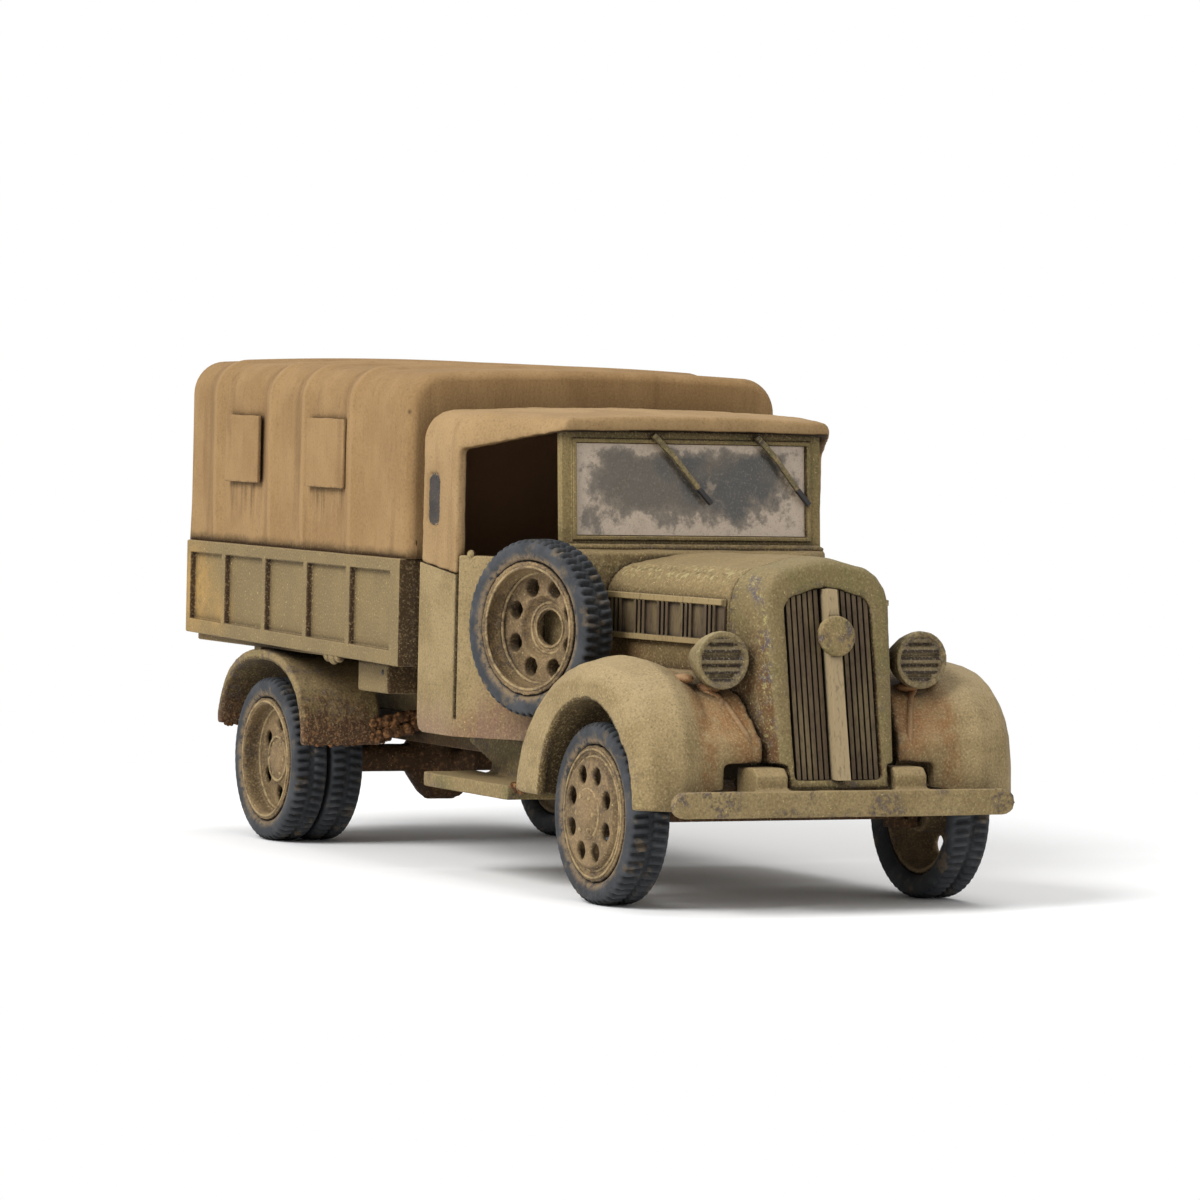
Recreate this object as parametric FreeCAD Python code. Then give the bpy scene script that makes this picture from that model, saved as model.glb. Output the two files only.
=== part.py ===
import FreeCAD, Part
import math
import os

# Military cargo truck, built as a painted scale model at its own size, millimetres.
# +X is forward, +Y is the left side, +Z is up.
# Heights are measured up from the top of the frame rails.
# Places along the bed are measured forward from the rear axle.
# Places along the cab and nose are measured forward from the front axle.
# Each piece is then moved so that the origin is at the bottom centre of the whole truck.
# Round pieces are many-sided, so that the whole truck stays light.

V = FreeCAD.Vector

# Sides of round pieces; each is a multiple of four, so that the full width is kept
WHEEL_SIDES = 24
ROUND_SIDES = 20
PIN_SIDES = 12
HOLE_SIDES = 8
SHOULDER_STEPS = 4
CROWN_STEPS = 2
CORNER_STEPS = 3
CREST_STEPS = 16

# Tyres
TYRE_R = 8.0
TYRE_BORE_R = 5.9
TYRE_WALL_LOW_R = 6.6
TYRE_WALL_HIGH_R = 7.4
TREAD_IN = 0.7
BEAD_IN = 0.7
FRONT_TYRE_W = 3.9
REAR_TYRE_W = 3.5
SPARE_TYRE_W = 3.5
TWIN_GAP = 0.3
WHEELBASE = 70.6

# Wheels; depths are measured inwards from the rim ring's face
RIM_RING_R = 6.05
RIM_RING_T = 0.35
RIM_RING_IN = 0.1
BARREL_T = 0.5
DISC_T = 0.55
SPINDLE_R = 0.8
HUB_R = 2.1
FRONT_HOLES = 8
FRONT_HOLE_CIRCLE_R = 3.6
REAR_HOLES = 6
REAR_HOLE_CIRCLE_R = 3.5
SPARE_HOLE_CIRCLE_R = 3.85
HAND_HOLE_R = 0.86
FRONT_EDGE_DEPTH = 0.75
FRONT_DOME_OUT = 0.46
FRONT_DOME_R = 4.7
FRONT_HUB_OUT = 0.75
FRONT_CAP_OUT = 1.04
FRONT_CAP_R = 1.4
REAR_DISC_DEPTH = 1.6
REAR_CAP_DEPTH = 1.06
REAR_CAP_R = 1.47
REAR_FLANGE_R = 2.5
REAR_FLANGE_OUT = 0.25
SPARE_EDGE_DEPTH = 0.9
SPARE_DISH_DEPTH = 1.9
SPARE_DISH_R = 4.8
SPARE_DISH_IN_R = 2.9
SPARE_COLLAR_DEPTH = 2.7
SPARE_COLLAR_R = 2.42
SPARE_BORE_R = 1.55

# Fits between pieces
SEAT = 0.05
RUNNING_CLEARANCE = 0.08
WHEEL_CLEARANCE = 0.35
SPARE_CLEARANCE = 0.35
BLIND_END = 0.4

# Frame and axles
AXLE_DROP = 2.2
RAIL_IN_Y = 4.9
RAIL_W = 2.2
RAIL_H = 2.8
RAIL_REAR_X = -18.0
RAIL_FRONT_X = 9.0
CROSS_W = 1.6
CROSS_H = 1.6
REAR_CROSS_X = -17.0
DIFF_CROSS_X = 8.2
NOSE_CROSS_X = 2.8
FRONT_BAYS = 5
AXLE_TUBE_R = 1.4
DIFF_R = 4.2
DIFF_HALF_W = 3.4
DIFF_FACE_HALF_W = 1.5
DIFF_SIDE_R = 1.9
PINION_R = 1.3
PINION_L = 6.2
BEAM_HALF = 0.8
KNUCKLE_Y = 12.5
KNUCKLE_EYE_R = 0.85
KNUCKLE_PLATE = 0.8
SPRING_W = 1.5
SPRING_GAP = 1.15
REAR_SPRING_HALF_L = 10.5
FRONT_SPRING_HALF_L = 8.4
SPRING_RISE = 1.7
SPRING_LEAF = 0.55
SPRING_LEAVES = 3
SPRING_STEP = 0.27
SPRING_SEGMENTS = 5
HANGER_W = 1.0
HANGER_H = 1.3

# Bumper
BUMPER_FRONT_X = 13.75
BUMPER_T = 1.0
BUMPER_HALF = 16.8
BUMPER_BOTTOM = -4.5
BUMPER_H = 2.3
BUMPER_END_R = 1.1
HORN_IN_Y = 5.3
HORN_W = 3.1
HORN_TOP = -0.3
HORN_FRONT_DROP = 0.7
HORN_BOTTOM = -3.7

# Cab
CAB_REAR_X = -35.0
CAB_HALF = 18.95
CAB_CORNER_X = -27.2
CAB_FRONT_X = -19.0
CAB_FRONT_HALF = 13.9
CAB_WALL = 1.2
CAB_LOW_CORNER_R = 1.2
QUARTER_TOP = 15.7
QUARTER_DROP = 0.9
DOOR_TOP = 16.6
FLOOR_T = 1.0
DOOR_SEAM_W = 0.3
DOOR_SEAM_DEPTH = 0.25
DOOR_SEAM_LIFT = 1.6

# Scuttle and bonnet
SCUTTLE_FLAT_X = -15.8
SCUTTLE_FRONT_X = -13.6
SCUTTLE_FLAT_HALF = 13.3
SCUTTLE_TOP = 17.6
BONNET_REAR_HALF = 10.5
BONNET_FRONT_X = 5.4
BONNET_FRONT_HALF = 7.7
BONNET_REAR_TOP = 17.5
BONNET_FRONT_TOP = 17.9
BONNET_SHOULDER_R = 3.4
BONNET_CROWN = 0.9
LOUVRE_START_X = -12.6
LOUVRE_END_X = 5.3
LOUVRE_BOTTOM = 9.9
LOUVRE_TOP = 14.0
LOUVRE_RIB = 0.55
LOUVRE_PLATE = 0.25
LOUVRE_PROUD = 0.4
LOUVRE_SLAT_PROUD = 0.3
LOUVRE_BAYS = 5
LOUVRE_SLATS = 3
LOUVRE_SLAT_W = 0.35
LOUVRE_SLAT_PITCH = 0.65

# Nose
NOSE_BOTTOM = -2.1
NOSE_HALF = 5.5
NOSE_LOW_HALF = 4.85
NOSE_TOP = 16.9
NOSE_SHOULDER_R = 2.6
NOSE_CROWN = 0.5
NOSE_ROUND = 0.8
NOSE_FACE_TOP_X = 9.1
NOSE_FACE_TOP_Z = 15.2
NOSE_RAKE = 0.1875
GRILLE_HALF = 4.3
GRILLE_BOTTOM = -1.4
GRILLE_TOP = 15.2
GRILLE_CORNER_R = 1.5
GRILLE_CROWN = 0.6
GRILLE_DEPTH = 1.5
GRILLE_BACK_T = 0.5
GRILLE_BARS_PER_SIDE = 6
GRILLE_BAR_W = 0.38
GRILLE_BAR_DEPTH = 0.75
GRILLE_CENTRE_TOP_W = 1.0
GRILLE_CENTRE_LOW_W = 1.3
GRILLE_CENTRE_PROUD = 0.9
BOSS_R = 1.8
BOSS_T = 0.6
BOSS_EDGE = 0.2
BOSS_Z = 11.05

# Windscreen
SCREEN_BOTTOM_X = -16.66
SCREEN_TOP = 28.3
SCREEN_LEAN = 0.0667
SCREEN_HALF = 13.25
SCREEN_T = 0.9
SCREEN_SIDE = 1.45
SCREEN_SILL = 1.2
SCREEN_HEAD = 1.1
BEAD_W = 0.4
BEAD_PROUD = 0.2
PANE_T = 0.4
WIPER_W = 0.5
WIPER_Y = [(-4.2, 1.7), (6.4, 11.8)]
WIPER_TOP_DOWN = 0.3
WIPER_TIP_UP = 3.0

# Cab canvas top
TOP_HOOP_Z = 30.25
TOP_CORNER_R = 2.8
TOP_CROWN = 0.45
TOP_REAR_ROUND = 0.5
TOP_SIDE_DROP = 4.05
TOP_FRONT_X = -16.0
TOP_FRONT_HALF = 13.6
TOP_LIP_H = 1.35
TOP_FRONT_CORNER_R = 0.9
TOP_FRONT_CROWN = 0.3
TOP_FRONT_HEM = 0.1
TOP_FRONT_WALL = 0.7
CANVAS_T = 1.2
QUARTER_WINDOW_X = -32.6
QUARTER_WINDOW_W = 2.8
QUARTER_WINDOW_BOTTOM = 19.0
QUARTER_WINDOW_H = 5.1
QUARTER_WINDOW_R = 0.9
QUARTER_WINDOW_DEPTH = 0.5

# Cab inside
SEAT_FRONT_X = -26.4
SEAT_HALF = 14.0
SEAT_TOP = 7.4
SEAT_BACK_T = 1.6
SEAT_BACK_TOP = 14.6
WHEEL_Y = -7.2
WHEEL_X = -23.2
WHEEL_Z = 14.0
STEERING_R = 3.4
STEERING_RIM_R = 0.35
SPOKE_R = 0.3
COLUMN_R = 0.4
COLUMN_TILT = 38.0

# Front fenders; depths are measured inwards from the crest line
FENDER_MIDDLE_X = -1.1
FENDER_REAR_L = 14.6
FENDER_FRONT_L = 12.8
FENDER_BOTTOM = -4.0
FENDER_CREST = 8.9
FENDER_REAR_FULLNESS = 1.9
FENDER_FRONT_FULLNESS = 2.8
FENDER_OUT_Y = 19.1
FENDER_EDGE_Y = 18.85
FENDER_TURN_Y = 17.6
FENDER_CROWN_Y = 14.6
FENDER_IN_Y = 11.8
FENDER_OUT_DEPTH = 4.2
FENDER_EDGE_DEPTH = 2.1
FENDER_TURN_DEPTH = 0.75
FENDER_IN_DEPTH = 1.0
FENDER_SKIN = 0.85
WHEEL_FACE_IN = 1.2
ARCH_X = 0.5
ARCH_LIFT = 1.2
ARCH_GAP = 0.9
WELL_GAP = 1.4
CATWALK_TOP = 7.6
CATWALK_REAR_FLAT_X = 3.0
CATWALK_SHOULDER_X = 7.6
CATWALK_SHOULDER_Z = 5.6
CATWALK_FRONT_X = 10.6
CATWALK_KNEE_Z = 1.8
CATWALK_OVER = 0.4
CATWALK_LOW_Y = 10.4
CATWALK_LOW_Z = -2.3
CATWALK_LOW_DEPTH = 2.0

# Spare wheel, placed by the middle of the back of its tyre, which leans on the cab side
SPARE_BACK_X = -15.88
SPARE_TO_CAB = 0.13
SPARE_Z = 10.5
SPARE_YAW = 17.6

# Headlamps
LAMP_FRONT_X = 8.8
LAMP_Y = 9.85
LAMP_Z = 8.85
LAMP_R = 2.55
LAMP_L = 5.2
LAMP_RIM = 0.42
LAMP_RIM_L = 0.7
LAMP_GLASS_IN = 0.3
LAMP_WAIST_R = 2.25
LAMP_WAIST_BACK = 1.9
LAMP_TAIL_R = 1.3
LAMP_TAIL_BACK = 4.2
LAMP_SLOTS = 4
LAMP_SLOT_H = 0.34
LAMP_SLOT_DEPTH = 0.3
LAMP_STALK_R = 0.7

# Running boards
BOARD_END_X = -15.9
BOARD_SIDE_IN = 0.45
BOARD_IN_Y = 12.7
BOARD_BOTTOM = -5.0
BOARD_T = 1.3
BOARD_END_R = 1.1
SPLASH_T = 0.8
SPLASH_REAR_H = 1.0
SPLASH_KNEE_X = -23.6
BOARD_ARM_W = 2.4
BOARD_ARM_UP = 0.3
BOARD_ARM_LAP = 0.7
BOARD_ARM_REAR_IN = 3.0
BOARD_ARM_FRONT_IN = 2.0

# Cargo bed
BED_REAR_X = -19.0
CAB_TO_BED = 2.6
BED_HALF = 19.8
BOARD_THICK = 0.8
STRIP_PROUD = 0.6
BED_TOP = 15.85
BED_BOTTOM_REAR = 6.6
BED_BOTTOM_FRONT = 5.8
BED_FLOOR_TOP = 7.0
BED_FLOOR_T = 1.2
TOP_RAIL_H = 1.2
BOTTOM_RAIL_H = 1.4
POST_W = 1.0
POST_FROM_FRONT = 11.9
POST_PITCH = 10.2
END_POST_W = 2.2
BEARER_W = 1.8
BEARER_H = 1.6
BEARER_FROM_END = 4.5
BEARER_FROM_FENDER = 3.8
BEARER_SIDE_IN = 4.6
PLANK_GROOVES = 7
PLANK_GROOVE_W = 0.25
PLANK_GROOVE_DEPTH = 0.25
TOOLBOX_L = 7.0
TOOLBOX_SIDE_IN = 2.4
TOOLBOX_D = 5.4
TOOLBOX_H = 3.0

# Rear wheels' track and fenders
REAR_OUTER_Y = 17.25
REAR_FENDER_OVER = 0.5
REAR_FENDER_CLEAR_Y = 0.5
REAR_FENDER_ABOVE_TYRE = 2.75
REAR_FENDER_REAR_X = -11.2
REAR_FENDER_FRONT_X = 10.8
REAR_FENDER_REAR_Z = -2.1
REAR_FENDER_FRONT_Z = -3.0
REAR_FENDER_FULLNESS = 2.3
REAR_FENDER_T = 1.0

# Canopy
CANOPY_REAR_OVER = 1.2
CANOPY_FRONT_OVER = 0.4
CANOPY_SIDE_IN = 0.45
CANOPY_TOP = 33.8
CANOPY_REAR_RISE = 0.6
CANOPY_CORNER_R = 3.4
CANOPY_CROWN = 0.4
CANOPY_WALL = 1.2
CANOPY_ROUND = 1.1
BOW_X = [-12.8, 0.9, 9.1, 20.5]
BOW_W = 2.0
BOW_PROUD = 0.2
CANVAS_SAG = 0.15
FLAP_SPANS = [(-9.6, -1.3), (10.6, 19.4)]
FLAP_BOTTOM = 22.0
FLAP_TOP = 28.6
FLAP_T = 0.45

# Worked-out places
FAR = 200.0
FLAT_ENOUGH = 1e-6
AXLE_Z = -RAIL_H - AXLE_DROP
GROUND = AXLE_Z - TYRE_R
RAIL_OUT_Y = RAIL_IN_Y + RAIL_W
SPRING_IN_Y = RAIL_OUT_Y + SPRING_GAP
CANOPY_REAR_X = BED_REAR_X - CANOPY_REAR_OVER
BED_FRONT_X = WHEELBASE + CAB_REAR_X - CAB_TO_BED
CANOPY_FRONT_X = BED_FRONT_X + CANOPY_FRONT_OVER
CANOPY_HALF = BED_HALF - CANOPY_SIDE_IN
ORIGIN_X = (WHEELBASE + BUMPER_FRONT_X + CANOPY_REAR_X) / 2
BED_FLOOR_BOTTOM = BED_FLOOR_TOP - BED_FLOOR_T
BED_BOARD_Y = BED_HALF - STRIP_PROUD
BED_IN_Y = BED_BOARD_Y - BOARD_THICK
END_BOARD_T = BOARD_THICK + STRIP_PROUD
REAR_FENDER_TOP = AXLE_Z + TYRE_R + REAR_FENDER_ABOVE_TYRE
REAR_FENDER_OUT_Y = REAR_OUTER_Y + REAR_TYRE_W / 2 + REAR_FENDER_OVER
REAR_INNER_Y = REAR_OUTER_Y - REAR_TYRE_W - TWIN_GAP
REAR_FENDER_IN_Y = REAR_INNER_Y - REAR_TYRE_W / 2 - REAR_FENDER_CLEAR_Y
FRONT_WHEEL_Y = FENDER_OUT_Y - WHEEL_FACE_IN - FRONT_TYRE_W / 2
REAR_TUBE_END = REAR_INNER_Y - REAR_TYRE_W / 2 + BEAD_IN - WHEEL_CLEARANCE
TOP_FRONT_SIDE_Z = SCREEN_TOP + SEAT
TOP_FRONT_PEAK_Z = TOP_FRONT_SIDE_Z + TOP_LIP_H
TOP_SIDE_Z = TOP_HOOP_Z - TOP_SIDE_DROP
PANE_HALF = SCREEN_HALF - SCREEN_SIDE
PANE_BOTTOM = SCUTTLE_TOP + SCREEN_SILL
PANE_TOP = SCREEN_TOP - SCREEN_HEAD
DOOR_SLOPE = (CAB_HALF - CAB_FRONT_HALF) / (CAB_FRONT_X - CAB_CORNER_X)
SPARE_EDGE_X = SPARE_BACK_X - TYRE_WALL_HIGH_R * math.cos(math.radians(SPARE_YAW))
SPARE_EDGE_Y = CAB_HALF - DOOR_SLOPE * (SPARE_EDGE_X - CAB_CORNER_X) + SPARE_TO_CAB
SPARE_BACK_Y = SPARE_EDGE_Y - TYRE_WALL_HIGH_R * math.sin(math.radians(SPARE_YAW))
WELL_R = TYRE_R + WELL_GAP
ARCH_R = TYRE_R + ARCH_GAP
ARCH_Z = AXLE_Z + ARCH_LIFT


# Shape helpers

def box(x0, x1, y0, y1, z0, z1):
    return Part.makeBox(x1 - x0, y1 - y0, z1 - z0, V(x0, y0, z0))


def distinct(points):
    """The corners of a facet, without those that repeat the one before."""
    kept = []
    for index, point in enumerate(points):
        if point.sub(points[index - 1]).Length > FLAT_ENOUGH:
            kept.append(point)
    return kept


def polygon(points):
    return Part.Face(Part.makePolygon(points + [points[0]]))


def facets(corners):
    """One flat face, or two where four corners don't lie in a plane."""
    corners = distinct(corners)
    if len(corners) < 3:
        return []
    if len(corners) == 3:
        return [polygon(corners)]
    a, b, c, d = corners
    normal = b.sub(a).cross(c.sub(a))
    if normal.Length < FLAT_ENOUGH or abs(normal.normalize().dot(d.sub(a))) < FLAT_ENOUGH:
        return [polygon(corners)]
    return [polygon([a, b, c]), polygon([a, c, d])]


def closed_solid(faces):
    solid = Part.Solid(Part.Shell(faces))
    if solid.Volume < 0:
        solid.reverse()
    return solid


def skinned(outlines):
    """A solid through closed outlines of as many points each."""
    faces = [polygon(outlines[0]), polygon(outlines[-1])]
    for near, far in zip(outlines, outlines[1:]):
        for index, corner in enumerate(near):
            faces += facets([near[index - 1], corner, far[index], far[index - 1]])
    return closed_solid(faces)


def turned(points, sides):
    """Turns a closed outline of (radius, y) points about the Y axis, in flat steps."""
    faces = []
    for step in range(sides):
        for index, (r1, y1) in enumerate(points):
            r0, y0 = points[index - 1]
            corners = []
            for r, y, turn in ((r0, y0, step), (r1, y1, step), (r1, y1, step + 1), (r0, y0, step + 1)):
                angle = 2 * math.pi * turn / sides
                corners.append(V(r * math.sin(angle), y, -r * math.cos(angle)))
            faces += facets(corners)
    return closed_solid(faces).removeSplitter()


def bar(radius, start, end, sides):
    """A straight many-sided bar between two points."""
    along = end.sub(start)
    rod = turned([(0, 0), (radius, 0), (radius, along.Length), (0, along.Length)], sides)
    rod.Placement = FreeCAD.Placement(start, FreeCAD.Rotation(V(0, 1, 0), along))
    return rod


def side_prism(outline_xz, y0, y1):
    face = polygon([V(x, y0, z) for x, z in outline_xz])
    return face.extrude(V(0, y1 - y0, 0))


def plan_prism(outline_xy, z0, z1):
    face = polygon([V(x, y, z0) for x, y in outline_xy])
    return face.extrude(V(0, 0, z1 - z0))


def front_prism(outline_yz, x0, x1):
    face = polygon([V(x0, y, z) for y, z in outline_yz])
    return face.extrude(V(x1 - x0, 0, 0))


def fused(shapes):
    whole = shapes[0]
    for shape in shapes[1:]:
        whole = whole.fuse(shape)
    return whole.removeSplitter()


def moved(shape, x, y, z):
    copy = shape.copy()
    copy.translate(V(x, y, z))
    return copy


def mirrored(shape):
    return shape.mirror(V(0, 0, 0), V(0, 1, 0))


def both_sides(shape):
    return Part.makeCompound([mirrored(shape), shape])


def corner(middle_a, middle_b, radius, start):
    """Points of a rounded corner, a quarter turn from the start angle in degrees."""
    points = []
    for step in range(CORNER_STEPS + 1):
        turn = math.radians(start + 90 * step / CORNER_STEPS)
        points.append((middle_a + radius * math.cos(turn), middle_b + radius * math.sin(turn)))
    return points


def rounded_box(a0, a1, b0, b1, radius):
    """Points of a rectangle with four rounded corners."""
    low_a = a0 + radius
    high_a = a1 - radius
    low_b = b0 + radius
    high_b = b1 - radius
    points = corner(high_a, high_b, radius, 0) + corner(low_a, high_b, radius, 90)
    return points + corner(low_a, low_b, radius, 180) + corner(high_a, low_b, radius, 270)


def arch(half, low_half, bottom, top, radius, crown):
    """Points (y, z) of an arch: sides that may lean, round shoulders and a crowned top."""
    inner = half - radius
    spring = top - crown - radius
    side = [(low_half, bottom)]
    for step in range(SHOULDER_STEPS + 1):
        turn = math.radians(90 * step / SHOULDER_STEPS)
        side.append((inner + radius * math.cos(turn), spring + radius * math.sin(turn)))
    for step in range(1, CROWN_STEPS):
        share = 1 - step / CROWN_STEPS
        side.append((inner * share, top - crown * share * share))
    return side + [(0, top)] + [(-y, z) for y, z in reversed(side)]


def at_x(x, outline_yz):
    return [V(x, y, z) for y, z in outline_yz]


# Tyres and wheels, made with the axis along Y and the outer face towards +Y

def tyre(width):
    half = width / 2
    side = [
        (TYRE_BORE_R, half - BEAD_IN),
        (TYRE_WALL_LOW_R, half),
        (TYRE_WALL_HIGH_R, half),
        (TYRE_R, half - TREAD_IN),
    ]
    return turned(side + [(r, -y) for r, y in reversed(side)], WHEEL_SIDES)


def ring_face(width):
    return width / 2 - RIM_RING_IN


def barrel(width):
    """The rim that carries the tyre, with the ring that shows round its outer edge."""
    out = TYRE_BORE_R - SEAT
    back = BEAD_IN - width / 2
    face = ring_face(width)
    return turned([
        (out - BARREL_T, back),
        (out, back),
        (out, face - RIM_RING_T),
        (RIM_RING_R, face - RIM_RING_T),
        (RIM_RING_R, face),
        (out - BARREL_T, face),
    ], WHEEL_SIDES)


def plain_ring(width):
    """The hidden inner rim of a twin wheel."""
    out = TYRE_BORE_R - SEAT
    half = width / 2 - BEAD_IN
    return turned([(out - BARREL_T, -half), (out, -half), (out, half), (out - BARREL_T, half)], WHEEL_SIDES)


def disc(profile):
    """A pressed disc of even thickness behind its (radius, y) front line."""
    back = [(r, y - DISC_T) for r, y in reversed(profile)]
    return turned(profile + back, WHEEL_SIDES)


def hand_holes(count, circle_r, y0, y1):
    holes = []
    for index in range(count):
        angle = 2 * math.pi * (index + 0.5) / count
        x = circle_r * math.cos(angle)
        z = circle_r * math.sin(angle)
        holes.append(bar(HAND_HOLE_R, V(x, y0, z), V(x, y1, z), HOLE_SIDES))
    return Part.makeCompound(holes)


def spindle_bore(y0, y1):
    return bar(SPINDLE_R + RUNNING_CLEARANCE, V(0, y0, 0), V(0, y1, 0), PIN_SIDES)


def front_wheel():
    """A domed disc with hand holes, a hub behind it and a cap that stands out."""
    half = FRONT_TYRE_W / 2
    face = ring_face(FRONT_TYRE_W)
    edge_r = TYRE_BORE_R - SEAT - BARREL_T
    dome = disc([
        (edge_r, face - FRONT_EDGE_DEPTH),
        (FRONT_DOME_R, face + FRONT_DOME_OUT),
        (0, face + FRONT_DOME_OUT),
    ])
    hub = turned([
        (0, BEAD_IN - half),
        (HUB_R, BEAD_IN - half),
        (HUB_R, face + FRONT_HUB_OUT),
        (FRONT_CAP_R, face + FRONT_HUB_OUT),
        (FRONT_CAP_R, face + FRONT_CAP_OUT),
        (0, face + FRONT_CAP_OUT),
    ], PIN_SIDES)
    holes = hand_holes(FRONT_HOLES, FRONT_HOLE_CIRCLE_R, -half, FRONT_TYRE_W)
    wheel = fused([barrel(FRONT_TYRE_W), dome.cut(holes), hub])
    return wheel.cut(spindle_bore(-half, face - BLIND_END))


def spare_wheel():
    """The dished wheel as it shows on the cab side, with an open middle."""
    face = ring_face(SPARE_TYRE_W)
    edge_r = TYRE_BORE_R - SEAT - BARREL_T
    back = face - SPARE_COLLAR_DEPTH - DISC_T
    dish = turned([
        (edge_r, back),
        (edge_r, face - SPARE_EDGE_DEPTH),
        (SPARE_DISH_R, face - SPARE_DISH_DEPTH),
        (SPARE_DISH_IN_R, face - SPARE_DISH_DEPTH),
        (SPARE_COLLAR_R, face - SPARE_COLLAR_DEPTH),
        (SPARE_BORE_R, face - SPARE_COLLAR_DEPTH),
        (SPARE_BORE_R, back),
    ], WHEEL_SIDES)
    holes = hand_holes(FRONT_HOLES, SPARE_HOLE_CIRCLE_R, -SPARE_TYRE_W, SPARE_TYRE_W)
    return fused([barrel(SPARE_TYRE_W), dish.cut(holes)])


def rear_wheels():
    """Both rims of a twin wheel on one hub; y is measured from the outer tyre's middle."""
    half = REAR_TYRE_W / 2
    inner_middle = REAR_INNER_Y - REAR_OUTER_Y
    face = ring_face(REAR_TYRE_W)
    edge_r = TYRE_BORE_R - SEAT - BARREL_T
    disc_y = face - REAR_DISC_DEPTH
    outer_disc = disc([(edge_r, disc_y), (0, disc_y)])
    holes = hand_holes(REAR_HOLES, REAR_HOLE_CIRCLE_R, -half, half)
    inner_disc = disc([(edge_r, inner_middle + disc_y), (0, inner_middle + disc_y)])
    hub = turned([
        (0, inner_middle - half + BEAD_IN),
        (HUB_R, inner_middle - half + BEAD_IN),
        (HUB_R, disc_y),
        (REAR_FLANGE_R, disc_y),
        (REAR_FLANGE_R, disc_y + REAR_FLANGE_OUT),
        (REAR_CAP_R, disc_y + REAR_FLANGE_OUT),
        (REAR_CAP_R, face - REAR_CAP_DEPTH),
        (0, face - REAR_CAP_DEPTH),
    ], PIN_SIDES)
    rims = [barrel(REAR_TYRE_W), moved(plain_ring(REAR_TYRE_W), 0, inner_middle, 0)]
    wheels = fused(rims + [outer_disc.cut(holes), inner_disc, hub])
    return wheels.cut(spindle_bore(inner_middle - half, disc_y - BLIND_END))


# Frame and axles

def cross_places():
    """Cross members clear of the differential, then in even bays to the nose."""
    front = WHEELBASE + NOSE_CROSS_X
    bay = (front - DIFF_CROSS_X) / FRONT_BAYS
    return [REAR_CROSS_X, -DIFF_CROSS_X] + [DIFF_CROSS_X + bay * index for index in range(FRONT_BAYS + 1)]


def chassis_frame():
    rail = box(RAIL_REAR_X, WHEELBASE + RAIL_FRONT_X, RAIL_IN_Y, RAIL_OUT_Y, -RAIL_H, 0)
    pieces = [rail, mirrored(rail)]
    for x in cross_places():
        pieces.append(box(x - CROSS_W / 2, x + CROSS_W / 2, -RAIL_IN_Y, RAIL_IN_Y, -CROSS_H, 0))
    return fused(pieces)


def leaf(half_l, top):
    """One bent leaf; top is the height of its flat middle, and its ends rise."""
    rise = SPRING_RISE * (half_l / REAR_SPRING_HALF_L) ** 2
    flat = 1 / SPRING_SEGMENTS
    upper = []
    lower = []
    for step in range(SPRING_SEGMENTS + 1):
        share = 2 * step / SPRING_SEGMENTS - 1
        z = top + rise * (share * share - flat * flat)
        upper.append((share * half_l, z))
        lower.append((share * half_l, z - SPRING_LEAF))
    return side_prism(upper + lower[::-1], SPRING_IN_Y, SPRING_IN_Y + SPRING_W)


def spring(half_l, low):
    """A leaf spring on its axle, with the two hangers that carry it beside the rail."""
    top = low + SPRING_LEAVES * SPRING_LEAF
    pieces = []
    for index in range(SPRING_LEAVES):
        pieces.append(leaf(half_l * (1 - SPRING_STEP * index), top - SPRING_LEAF * index))
    eye_z = top + SPRING_RISE * (half_l / REAR_SPRING_HALF_L) ** 2 - SPRING_LEAF
    for x in (-half_l, half_l - HANGER_W):
        pieces.append(box(x, x + HANGER_W, RAIL_OUT_Y, SPRING_IN_Y + SPRING_W, eye_z - HANGER_H, eye_z))
    return fused(pieces)


def rear_axle():
    """The tube with its differential casing, the spindles at its ends and the pinion nose."""
    spindle_end = REAR_OUTER_Y + ring_face(REAR_TYRE_W) - REAR_DISC_DEPTH - BLIND_END - SEAT
    casing = [
        (0, -DIFF_HALF_W),
        (DIFF_SIDE_R, -DIFF_HALF_W),
        (DIFF_R, -DIFF_FACE_HALF_W),
        (DIFF_R, DIFF_FACE_HALF_W),
        (DIFF_SIDE_R, DIFF_HALF_W),
        (0, DIFF_HALF_W),
    ]
    axle = fused([
        bar(AXLE_TUBE_R, V(0, -REAR_TUBE_END, 0), V(0, REAR_TUBE_END, 0), PIN_SIDES),
        bar(SPINDLE_R, V(0, -spindle_end, 0), V(0, spindle_end, 0), PIN_SIDES),
        turned(casing, PIN_SIDES),
        bar(PINION_R, V(0, 0, 0), V(PINION_L, 0, 0), HOLE_SIDES),
    ])
    return moved(axle, 0, 0, AXLE_Z)


def front_axle():
    beam = box(-BEAM_HALF, BEAM_HALF, -KNUCKLE_Y, KNUCKLE_Y, -BEAM_HALF, BEAM_HALF)
    eye = bar(KNUCKLE_EYE_R, V(0, KNUCKLE_Y, -BEAM_HALF), V(0, KNUCKLE_Y, BEAM_HALF), PIN_SIDES)
    return moved(fused([beam, eye, mirrored(eye)]), 0, 0, AXLE_Z)


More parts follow.
